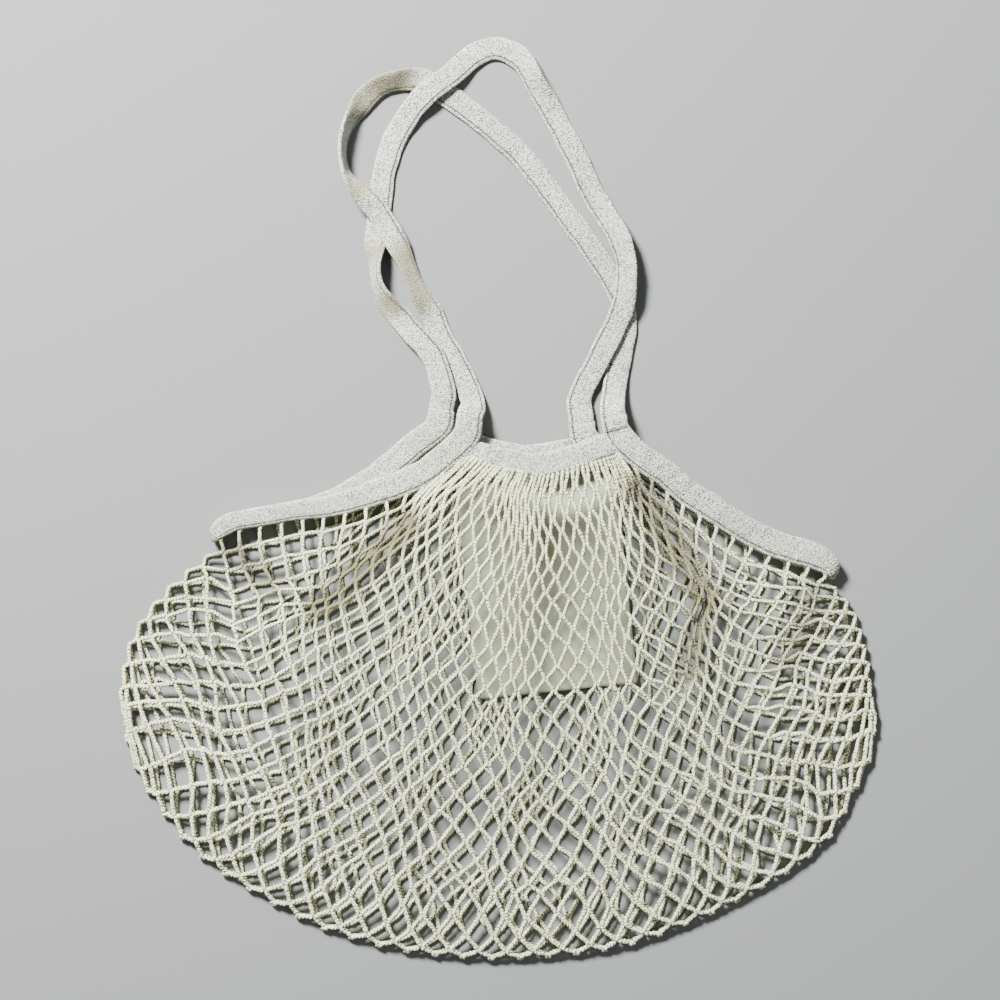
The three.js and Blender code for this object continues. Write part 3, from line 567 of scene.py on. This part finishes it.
def wale(grid, number, cord, steps, lowered):
    """Line and up directions of one cord, which swings from knot to knot between its two neighbours.

    At a knot it lies TOUCH of its width beside it, so that two cords meet there. Where its neighbours
    are close it strays by seeded random shares of its width. It starts inside a binding and ends at
    the fold, half way between the upper and the lower net, heading straight up or down."""
    first = max(0, CUT - number, CUT - (COLUMNS - 1 - number))
    rows = np.arange(first, ROWS + 1)
    column = number + (number + rows) % 2
    above, below = np.maximum(rows - 1, 0), np.minimum(rows + 1, ROWS)
    before, after = np.maximum(column - 1, 0), np.minimum(column + 1, COLUMNS)
    knots = grid[rows, column]
    heading = unit(grid[below, column] - grid[above, column])
    lateral = grid[rows, after] - grid[rows, before]
    lateral -= (lateral * heading).sum(-1, keepdims=True) * heading
    reach = np.linalg.norm(lateral, axis=-1, keepdims=True)
    lateral /= reach + 1e-9
    side = np.where(column == number, 1, -1)[:, None]
    points = knots + lateral * side * np.minimum(TOUCH * cord, 0.3 * reach)
    if first == 0:
        points[0] = (grid[0, number] + grid[0, number + 1]) / 2
    crowded = 1 - smooth(reach, CROWD[0] * cord, CROWD[1] * cord)
    rng = np.random.default_rng(1000 + number)
    stray = rng.uniform(-1, 1, (len(rows), 2))
    lift = stray[:, :1] * 0.45 + 0.5 * (number % 2 - 0.5)
    points[:, 2:] += lowered * crowded * lift * cord
    points += lateral * crowded * stray[:, 1:] * 0.3 * cord
    far = np.linalg.norm(np.diff(points, axis=0), axis=1, keepdims=True)
    far = np.minimum(np.vstack([far[:1], far]), np.vstack([far, far[-1:]]))
    tangents = heading * far * 0.8

    start = points[:1] - heading[:1] * BOUND_END
    points, tangents = np.vstack([start, points]), np.vstack([heading[:1] * BOUND_END, tangents])
    out = unit(heading[-1] * (1, 1, 0))
    middle = NET_T + CLEAR / 2
    turn = points[-1] + out * FOLD_OUT
    turn[2] = middle
    down = np.array((0, 0, 1.0 if points[-1, 2] < middle else -1.0)) * FOLD_TURN
    tangents[-1] = out * FOLD_TURN
    points, tangents = np.vstack([points, turn])[:, None], np.vstack([tangents, down])[:, None]
    line = cubic(points[:-1], points[1:], tangents[:-1], tangents[1:], steps)
    line = np.vstack([line, points[-1]])
    run = unit(np.gradient(line, axis=0))
    up = np.array((0, 0, 1.0)) + out * 3 * smooth(np.abs(run[:, 2:]), 0.6, 1)
    return line, up


def sweep_cord(line, up, cord, sides, seed, steps):
    """Rings of a cord: a flat oval with a dent along its top and bottom, as a chain of stitches has.

    At angle a the section is (cos a, sin a (1 - 0.2 |sin a|^6)). It swells towards the bottom of the
    bag and by smooth noise of the length, twists by up to 0.4 radians, and stops at the floor."""
    run = unit(np.gradient(line, axis=0))
    side = unit(np.cross(run, up))
    up = np.cross(side, run)
    length = lengths(line)
    twist = 0.4 * wander(length, 60 * MM, seed)[:, None]
    side, up = side * np.cos(twist) + up * np.sin(twist), up * np.cos(twist) - side * np.sin(twist)
    angle = 2 * np.pi * np.arange(sides) / sides
    dent = 1 - 0.2 * np.abs(np.sin(angle)) ** 6
    left = np.arange(len(line))[::-1] / steps
    swell = mix(*SWELL, smooth(left, 0.1 * ROWS, 0.6 * ROWS))
    swell = swell * (1 + 0.15 * wander(length, 4.5 * MM, seed + 1) + 0.05 * wander(length, 25 * MM, seed + 2))
    x = np.cos(angle)[None] * swell[:, None] * cord / 2
    y = (np.sin(angle) * dent)[None] * swell[:, None] * 1.05 * NET_T / 2
    rings = line[:, None] + side[:, None] * x[..., None] + up[:, None] * y[..., None]
    rings[..., 2] = np.maximum(rings[..., 2], 0)
    return rings, length, np.arange(sides + 1) / sides


def net_sweeps(sizes, left, mouth, right, upper, steps, sides):
    """Cords of one side of the net, as one list of sweeps in the order of the wales.

    The knots drift by smooth waves, by half as much again at the sides. The slits, the sides and the
    bottom stay; the mouth's row drifts too."""
    back_z = heights(sizes)[0]
    fold_z = 1.5 * NET_T + CLEAR if upper else NET_T / 2
    grid, depth = settle(sizes, left, mouth, right, fold_z)
    if upper:
        arched(sizes, grid, depth)
    else:
        laid(grid, depth, back_z)
    free = smooth(np.minimum(depth, ROWS - np.arange(ROWS + 1)[:, None]), 0, 4)
    i = np.arange(COLUMNS + 1)[None, :]
    free = free * smooth(np.minimum(i, COLUMNS - i), 0, 3)
    moved = drift(grid[..., :2], 7 if upper else 8, DRIFTS)
    moved *= 1 + 0.5 * smooth(np.abs(grid[..., :1]) / sizes.belly_width, 0.25, 0.45)
    if not upper:
        moved += LOWER_SHIFT
    grid[..., :2] += moved * free[..., None]
    extended(grid)
    sweeps = []
    for number in range(COLUMNS):
        line, up = wale(grid, number, sizes.cord_width, steps, 1.0 if upper else 0.35)
        seed = 10 * number + (0 if upper else 5)
        sweeps.append(sweep_cord(line, up, sizes.cord_width, sides, seed, steps))
    return sweeps


# Meshes

def piece(name, sweeps, material, node, shade=None):
    """Closed mesh from sweeps: quads between neighbouring rings, and a cap on each end ring.

    The map u runs along a sweep in metres, and v round it. shade gives each point its share of shadow."""
    points, corners, totals, maps = [], [], [], []
    base = 0
    for rings, along, around in sweeps:
        n, m = rings.shape[:2]
        heading = rings[1].mean(0) - rings[0].mean(0)
        area = np.cross(rings[0] - rings[0].mean(0), np.roll(rings[0], -1, 0) - rings[0].mean(0))
        turned = (area.sum(0) @ heading) > 0
        i = np.arange(n - 1)[:, None, None] + (0, 1, 1, 0) + np.zeros((m, 1), int)
        k = np.arange(m)[:, None] + (0, 0, 1, 1) + np.zeros((n - 1, 1, 1), int)
        quad, uv = i * m + k % m, np.stack([along[i], around[k]], -1)
        first, last = np.arange(m), (n - 1) * m + np.arange(m)[::-1]
        if turned:
            quad, uv = quad[..., ::-1], uv[..., ::-1, :]
            first, last = first[::-1], last[::-1]
        ends = np.r_[first, last]
        end_uv = np.c_[np.repeat((along[0], along[-1]), m), np.full(2 * m, around[-1] / 2)]
        points.append(rings.reshape(-1, 3))
        corners.append(base + np.r_[quad.reshape(-1), ends])
        totals.append(np.r_[np.full((n - 1) * m, 4), m, m])
        maps.append(np.vstack([uv.reshape(-1, 2), end_uv]))
        base += n * m
    points, corners, totals, maps = (np.concatenate(x) for x in (points, corners, totals, maps))
    mesh = bpy.data.meshes.new(name)
    mesh.vertices.add(len(points))
    mesh.vertices.foreach_set("co", points.astype(np.float32).ravel())
    mesh.loops.add(len(corners))
    mesh.loops.foreach_set("vertex_index", corners.astype(np.int32))
    mesh.polygons.add(len(totals))
    mesh.polygons.foreach_set("loop_start", np.r_[0, np.cumsum(totals)[:-1]].astype(np.int32))
    mesh.update(calc_edges=True)
    mesh.uv_layers.new(name="Thread").data.foreach_set("uv", maps.astype(np.float32).ravel())
    if shade is not None:
        values = mesh.attributes.new("PaintedShade", "FLOAT", "POINT").data
        values.foreach_set("value", shade(points).astype(np.float32))
    mesh.shade_smooth()
    if mesh.validate():
        raise RuntimeError(f"{name} isn't a sound mesh")
    mesh.materials.append(material)
    made = bpy.data.objects.new(name, mesh)
    bpy.context.scene.collection.objects.link(made)
    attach(made, "root")
    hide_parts(node)
    return made


# Materials

MATH, RANGE, MIX = "ShaderNodeMath", "ShaderNodeMapRange", "ShaderNodeMix"
STITCH_DEPTH, WEAVE_DEPTH = 0.35 * MM, 0.15 * MM


def linear(hex_colour):
    """sRGB hex, such as "#C9C6B4", as linear red, green, blue and 1."""
    parts = [int(hex_colour[k:k + 2], 16) / 255 for k in (1, 3, 5)]
    return (*(p / 12.92 if p <= 0.04045 else ((p + 0.055) / 1.055) ** 2.4 for p in parts), 1)


def add(material, kind, inputs=None, **settings):
    """Adds a node with its settings; an input is given a value, or a link where it is a socket."""
    tree = material.node_tree
    made = tree.nodes.new(kind)
    for key, value in settings.items():
        setattr(made, key, value)
    for key, value in (inputs or {}).items():
        if isinstance(value, bpy.types.NodeSocket):
            tree.links.new(value, made.inputs[key])
        else:
            made.inputs[key].default_value = value
    return made.outputs[0] if made.outputs else None


def fresh(name):
    """Material of that name with an empty node tree; tapes share one."""
    material = bpy.data.materials.get(name) or bpy.data.materials.new(name)
    material.use_nodes = True
    material.node_tree.nodes.clear()
    return material


def finish_cloth(material, colour, normal, roughness):
    """Matt fibre: a rough surface with a soft pale rim, which loose cotton fibres give it."""
    shader = add(material, "ShaderNodeBsdfPrincipled", {
        "Base Color": colour, "Normal": normal, "Roughness": roughness, "IOR": 1.47,
        "Sheen Weight": 0.2, "Sheen Roughness": 0.6, "Specular IOR Level": 0.2,
    })
    add(material, "ShaderNodeOutputMaterial", {"Surface": shader})
    return material


def stitched_cotton(
        name, colours, course, wale_width, lean, stray, grain, spread, flank_dip_and_shade=0.0, hem=None):
    """Knitted cotton yarn: rows of slanting stitches that meet in a V, with painted shade in the gaps between
    them.

    The stitch height is a sine of the way along, u / course, plus lean times the distance from the
    wale's edge, which is a zigzag of v with the wale's width, and plus stray times a fine noise, which
    makes the stitches uneven. grain times that noise then roughens them, and the flank setting lowers a
    cord's sides by the sine of its v, which tilts their bump and gives them painted shade. hem is the
    distance of a sewn line from the tape's inner edge, where v is 0; it is lowered, so its groove gets
    painted shade. Colours are those of raised stitches, of duller patches, of painted shade in gaps and
    of painted shade in folds and on leaning tapes, and spread is the height from gap to stitch."""
    material = fresh(name)
    place = add(material, "ShaderNodeUVMap", uv_map="Thread")
    split = add(material, "ShaderNodeSeparateXYZ", {0: place}).node
    u, v = split.outputs[0], split.outputs[1]
    zigzag = add(material, MATH, {0: v, 1: wale_width / 2}, operation="PINGPONG")
    turn = add(material, MATH, {0: u, 1: 2 * np.pi / course}, operation="MULTIPLY")
    lean = lean * 2 * np.pi / (wale_width / 2)
    phase = add(material, MATH, {0: zigzag, 1: lean, 2: turn}, operation="MULTIPLY_ADD")
    noise_place = add(material, "ShaderNodeTexCoord").node.outputs["Object"]
    fuzz = add(material, "ShaderNodeTexNoise", {"Vector": noise_place, "Scale": 800.0, "Detail": 2.0})
    blot = add(material, "ShaderNodeTexNoise", {"Vector": noise_place, "Scale": 22.0, "Detail": 4.0})
    phase = add(material, MATH, {0: fuzz, 1: stray, 2: phase}, operation="MULTIPLY_ADD")
    wave = add(material, MATH, {0: phase}, operation="SINE")
    stitch = add(material, RANGE, {"Value": wave, "From Min": -1.0})
    height = add(material, MATH, {0: fuzz, 1: grain, 2: stitch}, operation="MULTIPLY_ADD")
    # A cord's sides are lowered, which tilts their bump and gives them the darker gap colour: painted shade
    # on the sides.
    if flank_dip_and_shade:
        round_way = add(material, MATH, {0: v, 1: 2 * np.pi}, operation="MULTIPLY")
        top = add(material, MATH, {0: round_way}, operation="SINE")
        top = add(material, MATH, {0: top}, operation="ABSOLUTE")
        height = add(material, MATH, {0: top, 1: flank_dip_and_shade, 2: height}, operation="MULTIPLY_ADD")
        height = add(material, MATH, {0: height, 1: flank_dip_and_shade}, operation="SUBTRACT")
    if hem is not None:
        far = add(material, MATH, {0: v}, operation="ABSOLUTE")
        far = add(material, MATH, {0: far, 1: hem}, operation="SUBTRACT")
        far = add(material, MATH, {0: far}, operation="ABSOLUTE")
        # The sewn line is lowered: that dips its bump and, through the gap colour, paints shade into its
        # groove.
        sewn = add(material, RANGE, {
            "Value": far, "From Min": 0.1 * MM, "From Max": 0.8 * MM, "To Min": -1.1, "To Max": 0.0,
        })
        height = add(material, MATH, {0: height, 1: sewn}, operation="ADD")
    normal = add(material, "ShaderNodeBump", {"Height": height, "Distance": STITCH_DEPTH, "Strength": 1.0})
    # Low parts of the height take the gap colour: painted shade in the gaps, the sewn groove and a cord's
    # sides.
    middle = 0.5 + 0.5 * grain - 0.36 * flank_dip_and_shade
    ramp = add(material, RANGE, {
        "Value": height, "From Min": middle - spread, "From Max": middle + 0.6 * spread,
    })
    blot = add(material, RANGE, {"Value": blot, "From Min": 0.35, "From Max": 0.65})
    high = add(material, MIX, {0: blot, 6: colours[0], 7: colours[1]}, data_type="RGBA").node.outputs[2]
    colour = add(material, MIX, {0: ramp, 6: colours[2], 7: high}, data_type="RGBA").node.outputs[2]
    # Painted shade: the mesh's shade attribute mixes in the darker fold colour, in the net's valleys and on
    # leaning handle tapes.
    fold = add(material, "ShaderNodeAttribute", attribute_name="PaintedShade").node.outputs["Fac"]
    fold = add(material, RANGE, {"Value": fold, "From Min": 0.03, "From Max": 0.3, "To Max": 0.9})
    colour = add(material, MIX, {0: fold, 6: colour, 7: colours[3]}, data_type="RGBA").node.outputs[2]
    return finish_cloth(material, colour, normal, 0.92)


def plain_cotton(name, colours, thread):
    """Plain woven cotton: two sets of threads across each other, as a sine of x times a sine of y."""
    material = fresh(name)
    place = add(material, "ShaderNodeTexCoord").node.outputs["Object"]
    split = add(material, "ShaderNodeSeparateXYZ", {0: place}).node
    waves = []
    for k in (0, 1):
        turn = add(material, MATH, {0: split.outputs[k], 1: 2 * np.pi / thread}, operation="MULTIPLY")
        waves.append(add(material, MATH, {0: turn}, operation="SINE"))
    weave = add(material, MATH, {0: waves[0], 1: waves[1]}, operation="MULTIPLY")
    fuzz = add(material, "ShaderNodeTexNoise", {"Vector": place, "Scale": 700.0, "Detail": 2.0})
    height = add(material, MATH, {0: fuzz, 1: 0.6, 2: weave}, operation="MULTIPLY_ADD")
    normal = add(material, "ShaderNodeBump", {"Height": height, "Distance": WEAVE_DEPTH, "Strength": 1.0})
    blot = add(material, "ShaderNodeTexNoise", {"Vector": place, "Scale": 25.0, "Detail": 3.0})
    colour = add(material, MIX, {0: blot, 6: colours[0], 7: colours[1]}, data_type="RGBA").node.outputs[2]
    return finish_cloth(material, colour, normal, 0.9)


def cord_material(colours):
    """Chain of stitches: gives the eye a rough cream rope, with painted shade in the gaps and on the sides,
    and painted olive shade where the net dips into its valleys.

    The real stitch is about 1 mm high; it is drawn as coarse as it needs to show."""
    shades = (colours.cord_high, colours.cord_low, colours.cord_gap_shade, colours.cord_fold_shade)
    return stitched_cotton(
        "knitted cotton cord", shades, course=2.1 * MM, wale_width=0.5, lean=0.8, stray=5.0,
        grain=2.4, spread=0.62, flank_dip_and_shade=0.6)


def tape_material(colours):
    """Jersey folded and sewn: gives the eye a fine speckled knit, with painted shade in its gaps and in the
    groove of a sewn line near its inner edge, and painted olive-brown shade where a handle leans over.

    The real courses are about 0.7 mm high; they are drawn as coarse as they need to show."""
    shades = (colours.tape_high, colours.tape_low, colours.tape_gap_shade, colours.tape_lean_shade)
    return stitched_cotton(
        "cotton jersey tape", shades, course=1.3 * MM, wale_width=1.5 * MM, lean=0.6, stray=9.0,
        grain=3.0, spread=0.75, hem=2.4 * MM)


def label_material(colours):
    """Plain weave: gives the eye a smooth matt patch in the label's own pale tone, darkened as painted shade
    of the net over it.

    The real threads are about 0.4 mm apart; they are drawn as coarse as they need to show."""
    return plain_cotton("plain cotton label", (colours.label_high, colours.label_low), 1.2 * MM)


def floor_material(colours):
    """Matt board: gives the eye one plain pale ground, on which the net's shadows show."""
    material = fresh("matt pale board")
    shader = add(material, "ShaderNodeBsdfPrincipled", {
        "Base Color": colours.floor, "Roughness": 0.9, "Specular IOR Level": 0.1,
    })
    add(material, "ShaderNodeOutputMaterial", {"Surface": shader})
    return material


# The add-on: its properties, operators and panel

def length(name, text, metres):
    """Length property with its default in metres."""
    return bpy.props.FloatProperty(name=name, description=text, default=metres, unit="LENGTH")


def paint(name, text, hex_colour):
    """Colour property, kept linear, with its default given as sRGB hex."""
    return bpy.props.FloatVectorProperty(
        name=name, description=text, default=linear(hex_colour), subtype="COLOR", size=4, min=0, max=1)


class NETBAG_PG_sizes(bpy.types.PropertyGroup):
    """Driving sizes of the bag"""

    belly_width: length("Belly width", "Net across its widest place", 0.456)
    belly_length: length("Belly length", "Net from the mouth line to the bottom fold", 0.309)
    mouth_place: length("Mouth place", "Mouth line along the bag", 0.0327)
    handle_span: length("Handle span", "Both handle loops together, across", 0.18)
    handle_rise: length("Handle rise", "Mouth line to the top of the taller loop", 0.24)
    handle_middle: length("Handle middle", "Middle line of the two loops", -0.0045)
    handle_width: length("Handle width", "Handle tape, folded once", 0.014)
    binding_width: length("Binding width", "Binding along the net's open edges", 0.016)
    tape_ply: length("Tape ply", "One layer of the cotton tape", 0.0014)
    cord_width: length("Cord width", "One knitted cord of the net", 0.0023)
    leg: length("Leg", "Cord from one knot to the next", 0.0125)
    label_width: length("Label width", "Inner label, across", 0.096)
    label_length: length("Label length", "Inner label, down", 0.128)


class NETBAG_PG_colours(bpy.types.PropertyGroup):
    """Colours of the bag and of the floor"""

    cord_high: paint("Cord", "Raised stitches of the cords", "#EFF1CB")
    cord_low: paint("Cord, duller", "Raised stitches in the cords' duller patches", "#DCDFB6")
    # Painted shade: the colour of the gaps between the cords' stitches.
    cord_gap_shade: paint("Cord gap shade", "Painted shade in the gaps between the cords' stitches", "#454330")
    # Painted shade of the cords in the net's valleys.
    cord_fold_shade: paint("Cord fold shade", "Painted shade on cords in the deepest folds", "#605B39")
    tape_high: paint("Tape", "Raised stitches of the tapes", "#DFE3D4")
    tape_low: paint("Tape, duller", "Raised stitches in the tapes' duller patches", "#CCD1C1")
    # Painted shade: the colour of the gaps between the tapes' stitches.
    tape_gap_shade: paint("Tape gap shade", "Painted shade in the gaps between the tapes' stitches", "#3F4139")
    # Painted shade of the handle tapes where they lean over.
    tape_lean_shade: paint("Tape lean shade", "Painted shade on tapes where they lean over", "#7E7656")
    # The label's own pale tone, darkened as painted shade of the net lying over it.
    label_high: paint("Label", "Inner label", "#A4A98F")
    label_low: paint("Label, duller", "Inner label's duller patches", "#959A80")
    floor: paint("Floor", "Board under the bag", "#757876")


def sizes_of(context):
    """The scene's sizes of the bag."""
    return context.scene.netbag_sizes


def colours_of(context):
    """The scene's colours of the bag."""
    return context.scene.netbag_colours


def runs(sizes):
    """The four side runs and two mouth bands, by name."""
    back_z, mouth_z, _ = heights(sizes)
    return {
        "front_left": side_run(sizes, FRONT_LEFT_BAND, -1, True),
        "front_right": side_run(sizes, FRONT_RIGHT_BAND, 1, True),
        "back_left": side_run(sizes, BACK_LEFT_BAND, -1, False),
        "back_right": side_run(sizes, BACK_RIGHT_BAND, 1, False),
        "front_mouth": mouth_run(sizes, FRONT_MOUTH_BAND, mouth_z),
        "back_mouth": mouth_run(sizes, BACK_MOUTH_BAND, back_z),
    }


class NETBAG_OT_net(bpy.types.Operator):
    """Knit the net: the cords of its front and of its back"""

    bl_idname = "netbag.net"
    bl_label = "Net"

    def execute(self, context):
        """Both nets in three pieces each; fewer steps below, where the upper net covers most."""
        sizes, tapes = sizes_of(context), runs(sizes_of(context))
        material = cord_material(colours_of(context))
        for side, steps, around in (("front", 16, 8), ("back", 10, 6)):
            sweeps = net_sweeps(
                sizes, tapes[side + "_left"], tapes[side + "_mouth"], tapes[side + "_right"],
                side == "front", steps, around)
            for part, first, last in PARTS:
                # The valleys' depth, as the mesh's shade attribute, paints shade into the cords' colour.
                piece(f"net_{side}_{part}_wales", sweeps[first:last], material, f"net_{side}",
                      lambda places: valleys(sizes, places)[0] / BELLY_RISE)
        return {"FINISHED"}


class NETBAG_OT_bindings(bpy.types.Operator):
    """Bind the net's open edges: mouth bands and side bindings"""

    bl_idname = "netbag.bindings"
    bl_label = "Bindings"

    def execute(self, context):
        """One tape for each of the four bindings."""
        tapes = runs(sizes_of(context))
        made = {
            "side_band_left": whole_binding(tapes["front_left"], tapes["back_left"]),
            "side_band_right": whole_binding(tapes["front_right"], tapes["back_right"]),
            "front_mouth_band": tapes["front_mouth"],
            "back_mouth_band": tapes["back_mouth"],
        }
        material = tape_material(colours_of(context))
        for seed, (node, run) in enumerate(made.items()):
            piece(node + "_tape", [sweep_tape(run, 40 + 5 * seed)], material, node)
        return {"FINISHED"}


class NETBAG_OT_handles(bpy.types.Operator):
    """Lay the two handles down above the mouth"""

    bl_idname = "netbag.handles"
    bl_label = "Handles"

    def execute(self, context):
        """One tape for each handle, shaded where it leans over."""
        sizes, tapes = sizes_of(context), runs(sizes_of(context))
        material = tape_material(colours_of(context))
        for seed, (side, rows) in enumerate((("front", FRONT_HANDLE), ("back", BACK_HANDLE))):
            run = handle_run(sizes, tapes[side + "_left"], rows, tapes[side + "_right"])
            node = side + "_handle"
            sweep = sweep_tape(run, 70 + 5 * seed)
            piece(node + "_tape", [sweep], material, node,
                  lambda places: np.repeat(run.shade, sweep[0].shape[1]))
        return {"FINISHED"}


def label_sweep(sizes, stations=64, points=48):
    """Thin sheet as rings of its two faces: a smooth ripple of 0.3 mm, lifted to the band at its top."""
    top = on_net(sizes, ((LABEL_ACROSS, LABEL_DOWN),))[0]
    turn = np.radians(LABEL_TURN)
    share = np.linspace(0, 1, stations)
    down, across = np.array((np.sin(turn), -np.cos(turn))), np.array((np.cos(turn), np.sin(turn)))
    x = np.linspace(1, -1, points)
    ring = np.r_[x, x[::-1]] * sizes.label_width / 2
    face = np.r_[np.ones(points), -np.ones(points)] * LABEL_T / 2
    level = top + (share * sizes.label_length)[:, None, None] * down + ring[None, :, None] * across
    lift = (heights(sizes)[0] - NET_T / 2) * (1 - smooth(share, 0.1, 0.5))
    ripple = drift(level, 31, ((45 * MM, 0.25 * MM), (90 * MM, 0.35 * MM)))[..., 0]
    z = NET_T + CLEAR + 0.5 * MM + lift[:, None] + ripple * smooth(share, 0, 0.1)[:, None] + face
    rings = np.dstack([level, np.maximum(z, NET_T + CLEAR)])
    return rings, share * sizes.label_length, np.r_[0, np.cumsum(np.abs(np.diff(ring, append=ring[0])))]


class NETBAG_OT_label(bpy.types.Operator):
    """Hang the blank label inside, below the back mouth band"""

    bl_idname = "netbag.label"
    bl_label = "Label"

    def execute(self, context):
        """The sheet, laid on the lower net."""
        sizes = sizes_of(context)
        material = label_material(colours_of(context))
        made = piece("inner_label_cloth", [label_sweep(sizes)], material, "inner_label")
        return {"FINISHED"}


class NETBAG_OT_stage(bpy.types.Operator):
    """Set up the floor, the lights and the camera, which looks straight down"""

    bl_idname = "netbag.stage"
    bl_label = "Stage"

    def execute(self, context):
        """A wide board, a pale world, a small key lamp and a faint fill."""
        scene = context.scene
        mesh = bpy.data.meshes.new("floor")
        mesh.from_pydata([(-4, -4, 0), (4, -4, 0), (4, 4, 0), (-4, 4, 0)], [], [(0, 1, 2, 3)])
        floor = bpy.data.objects.new("floor", mesh)
        scene.collection.objects.link(floor)
        mesh.materials.append(floor_material(colours_of(context)))

        world = bpy.data.worlds.new("studio")
        world.use_nodes = True
        glow = world.node_tree.nodes["Background"].inputs
        glow["Color"].default_value, glow["Strength"].default_value = linear("#F4F6FA"), 0.26
        scene.world = world

        lamps = (("key", (-0.8, 1.2, 1.3), 255, 0.4), ("fill", (1.3, -0.8, 1.4), 6, 1.4))
        for name, place, power, size in lamps:
            light = bpy.data.lights.new(name, "AREA")
            light.energy, light.size = power, size
            lamp = bpy.data.objects.new(name, light)
            lamp.location = place
            lamp.rotation_euler = (-lamp.location).to_track_quat("-Z", "Y").to_euler()
            scene.collection.objects.link(lamp)

        camera = bpy.data.objects.new("camera", bpy.data.cameras.new("camera"))
        camera.data.lens = 90
        camera.data.sensor_width = 36
        camera.location = (0.0015, -0.0012, 1.5)
        scene.collection.objects.link(camera)
        scene.camera = camera
        return {"FINISHED"}


class NETBAG_PT_panel(bpy.types.Panel):
    """Sizes of the bag and the operators that make it"""

    bl_label = "Net bag"
    bl_idname = "NETBAG_PT_panel"
    bl_space_type = "VIEW_3D"
    bl_region_type = "UI"
    bl_category = "Net bag"

    def draw(self, context):
        """Every size and colour, and a button for every operator."""
        for group in (sizes_of(context), colours_of(context)):
            for name in type(group).__annotations__:
                self.layout.prop(group, name)
        for operator in OPERATORS:
            self.layout.operator(operator.bl_idname)


OPERATORS = (
    NETBAG_OT_stage, NETBAG_OT_net, NETBAG_OT_bindings, NETBAG_OT_handles, NETBAG_OT_label,
)
CLASSES = (NETBAG_PG_sizes, NETBAG_PG_colours, *OPERATORS, NETBAG_PT_panel)


def register():
    """Adds the classes, and their properties on the scene."""
    for cls in CLASSES:
        bpy.utils.register_class(cls)
    bpy.types.Scene.netbag_sizes = bpy.props.PointerProperty(type=NETBAG_PG_sizes)
    bpy.types.Scene.netbag_colours = bpy.props.PointerProperty(type=NETBAG_PG_colours)


def unregister():
    """Takes away what register added."""
    del bpy.types.Scene.netbag_sizes, bpy.types.Scene.netbag_colours
    for cls in reversed(CLASSES):
        bpy.utils.unregister_class(cls)


def main():
    """Makes the stage and the bag."""
    register()
    bpy.ops.netbag.stage()
    bpy.ops.netbag.net()
    bpy.ops.netbag.bindings()
    bpy.ops.netbag.handles()
    bpy.ops.netbag.label()


if __name__ == "__main__":
    main()
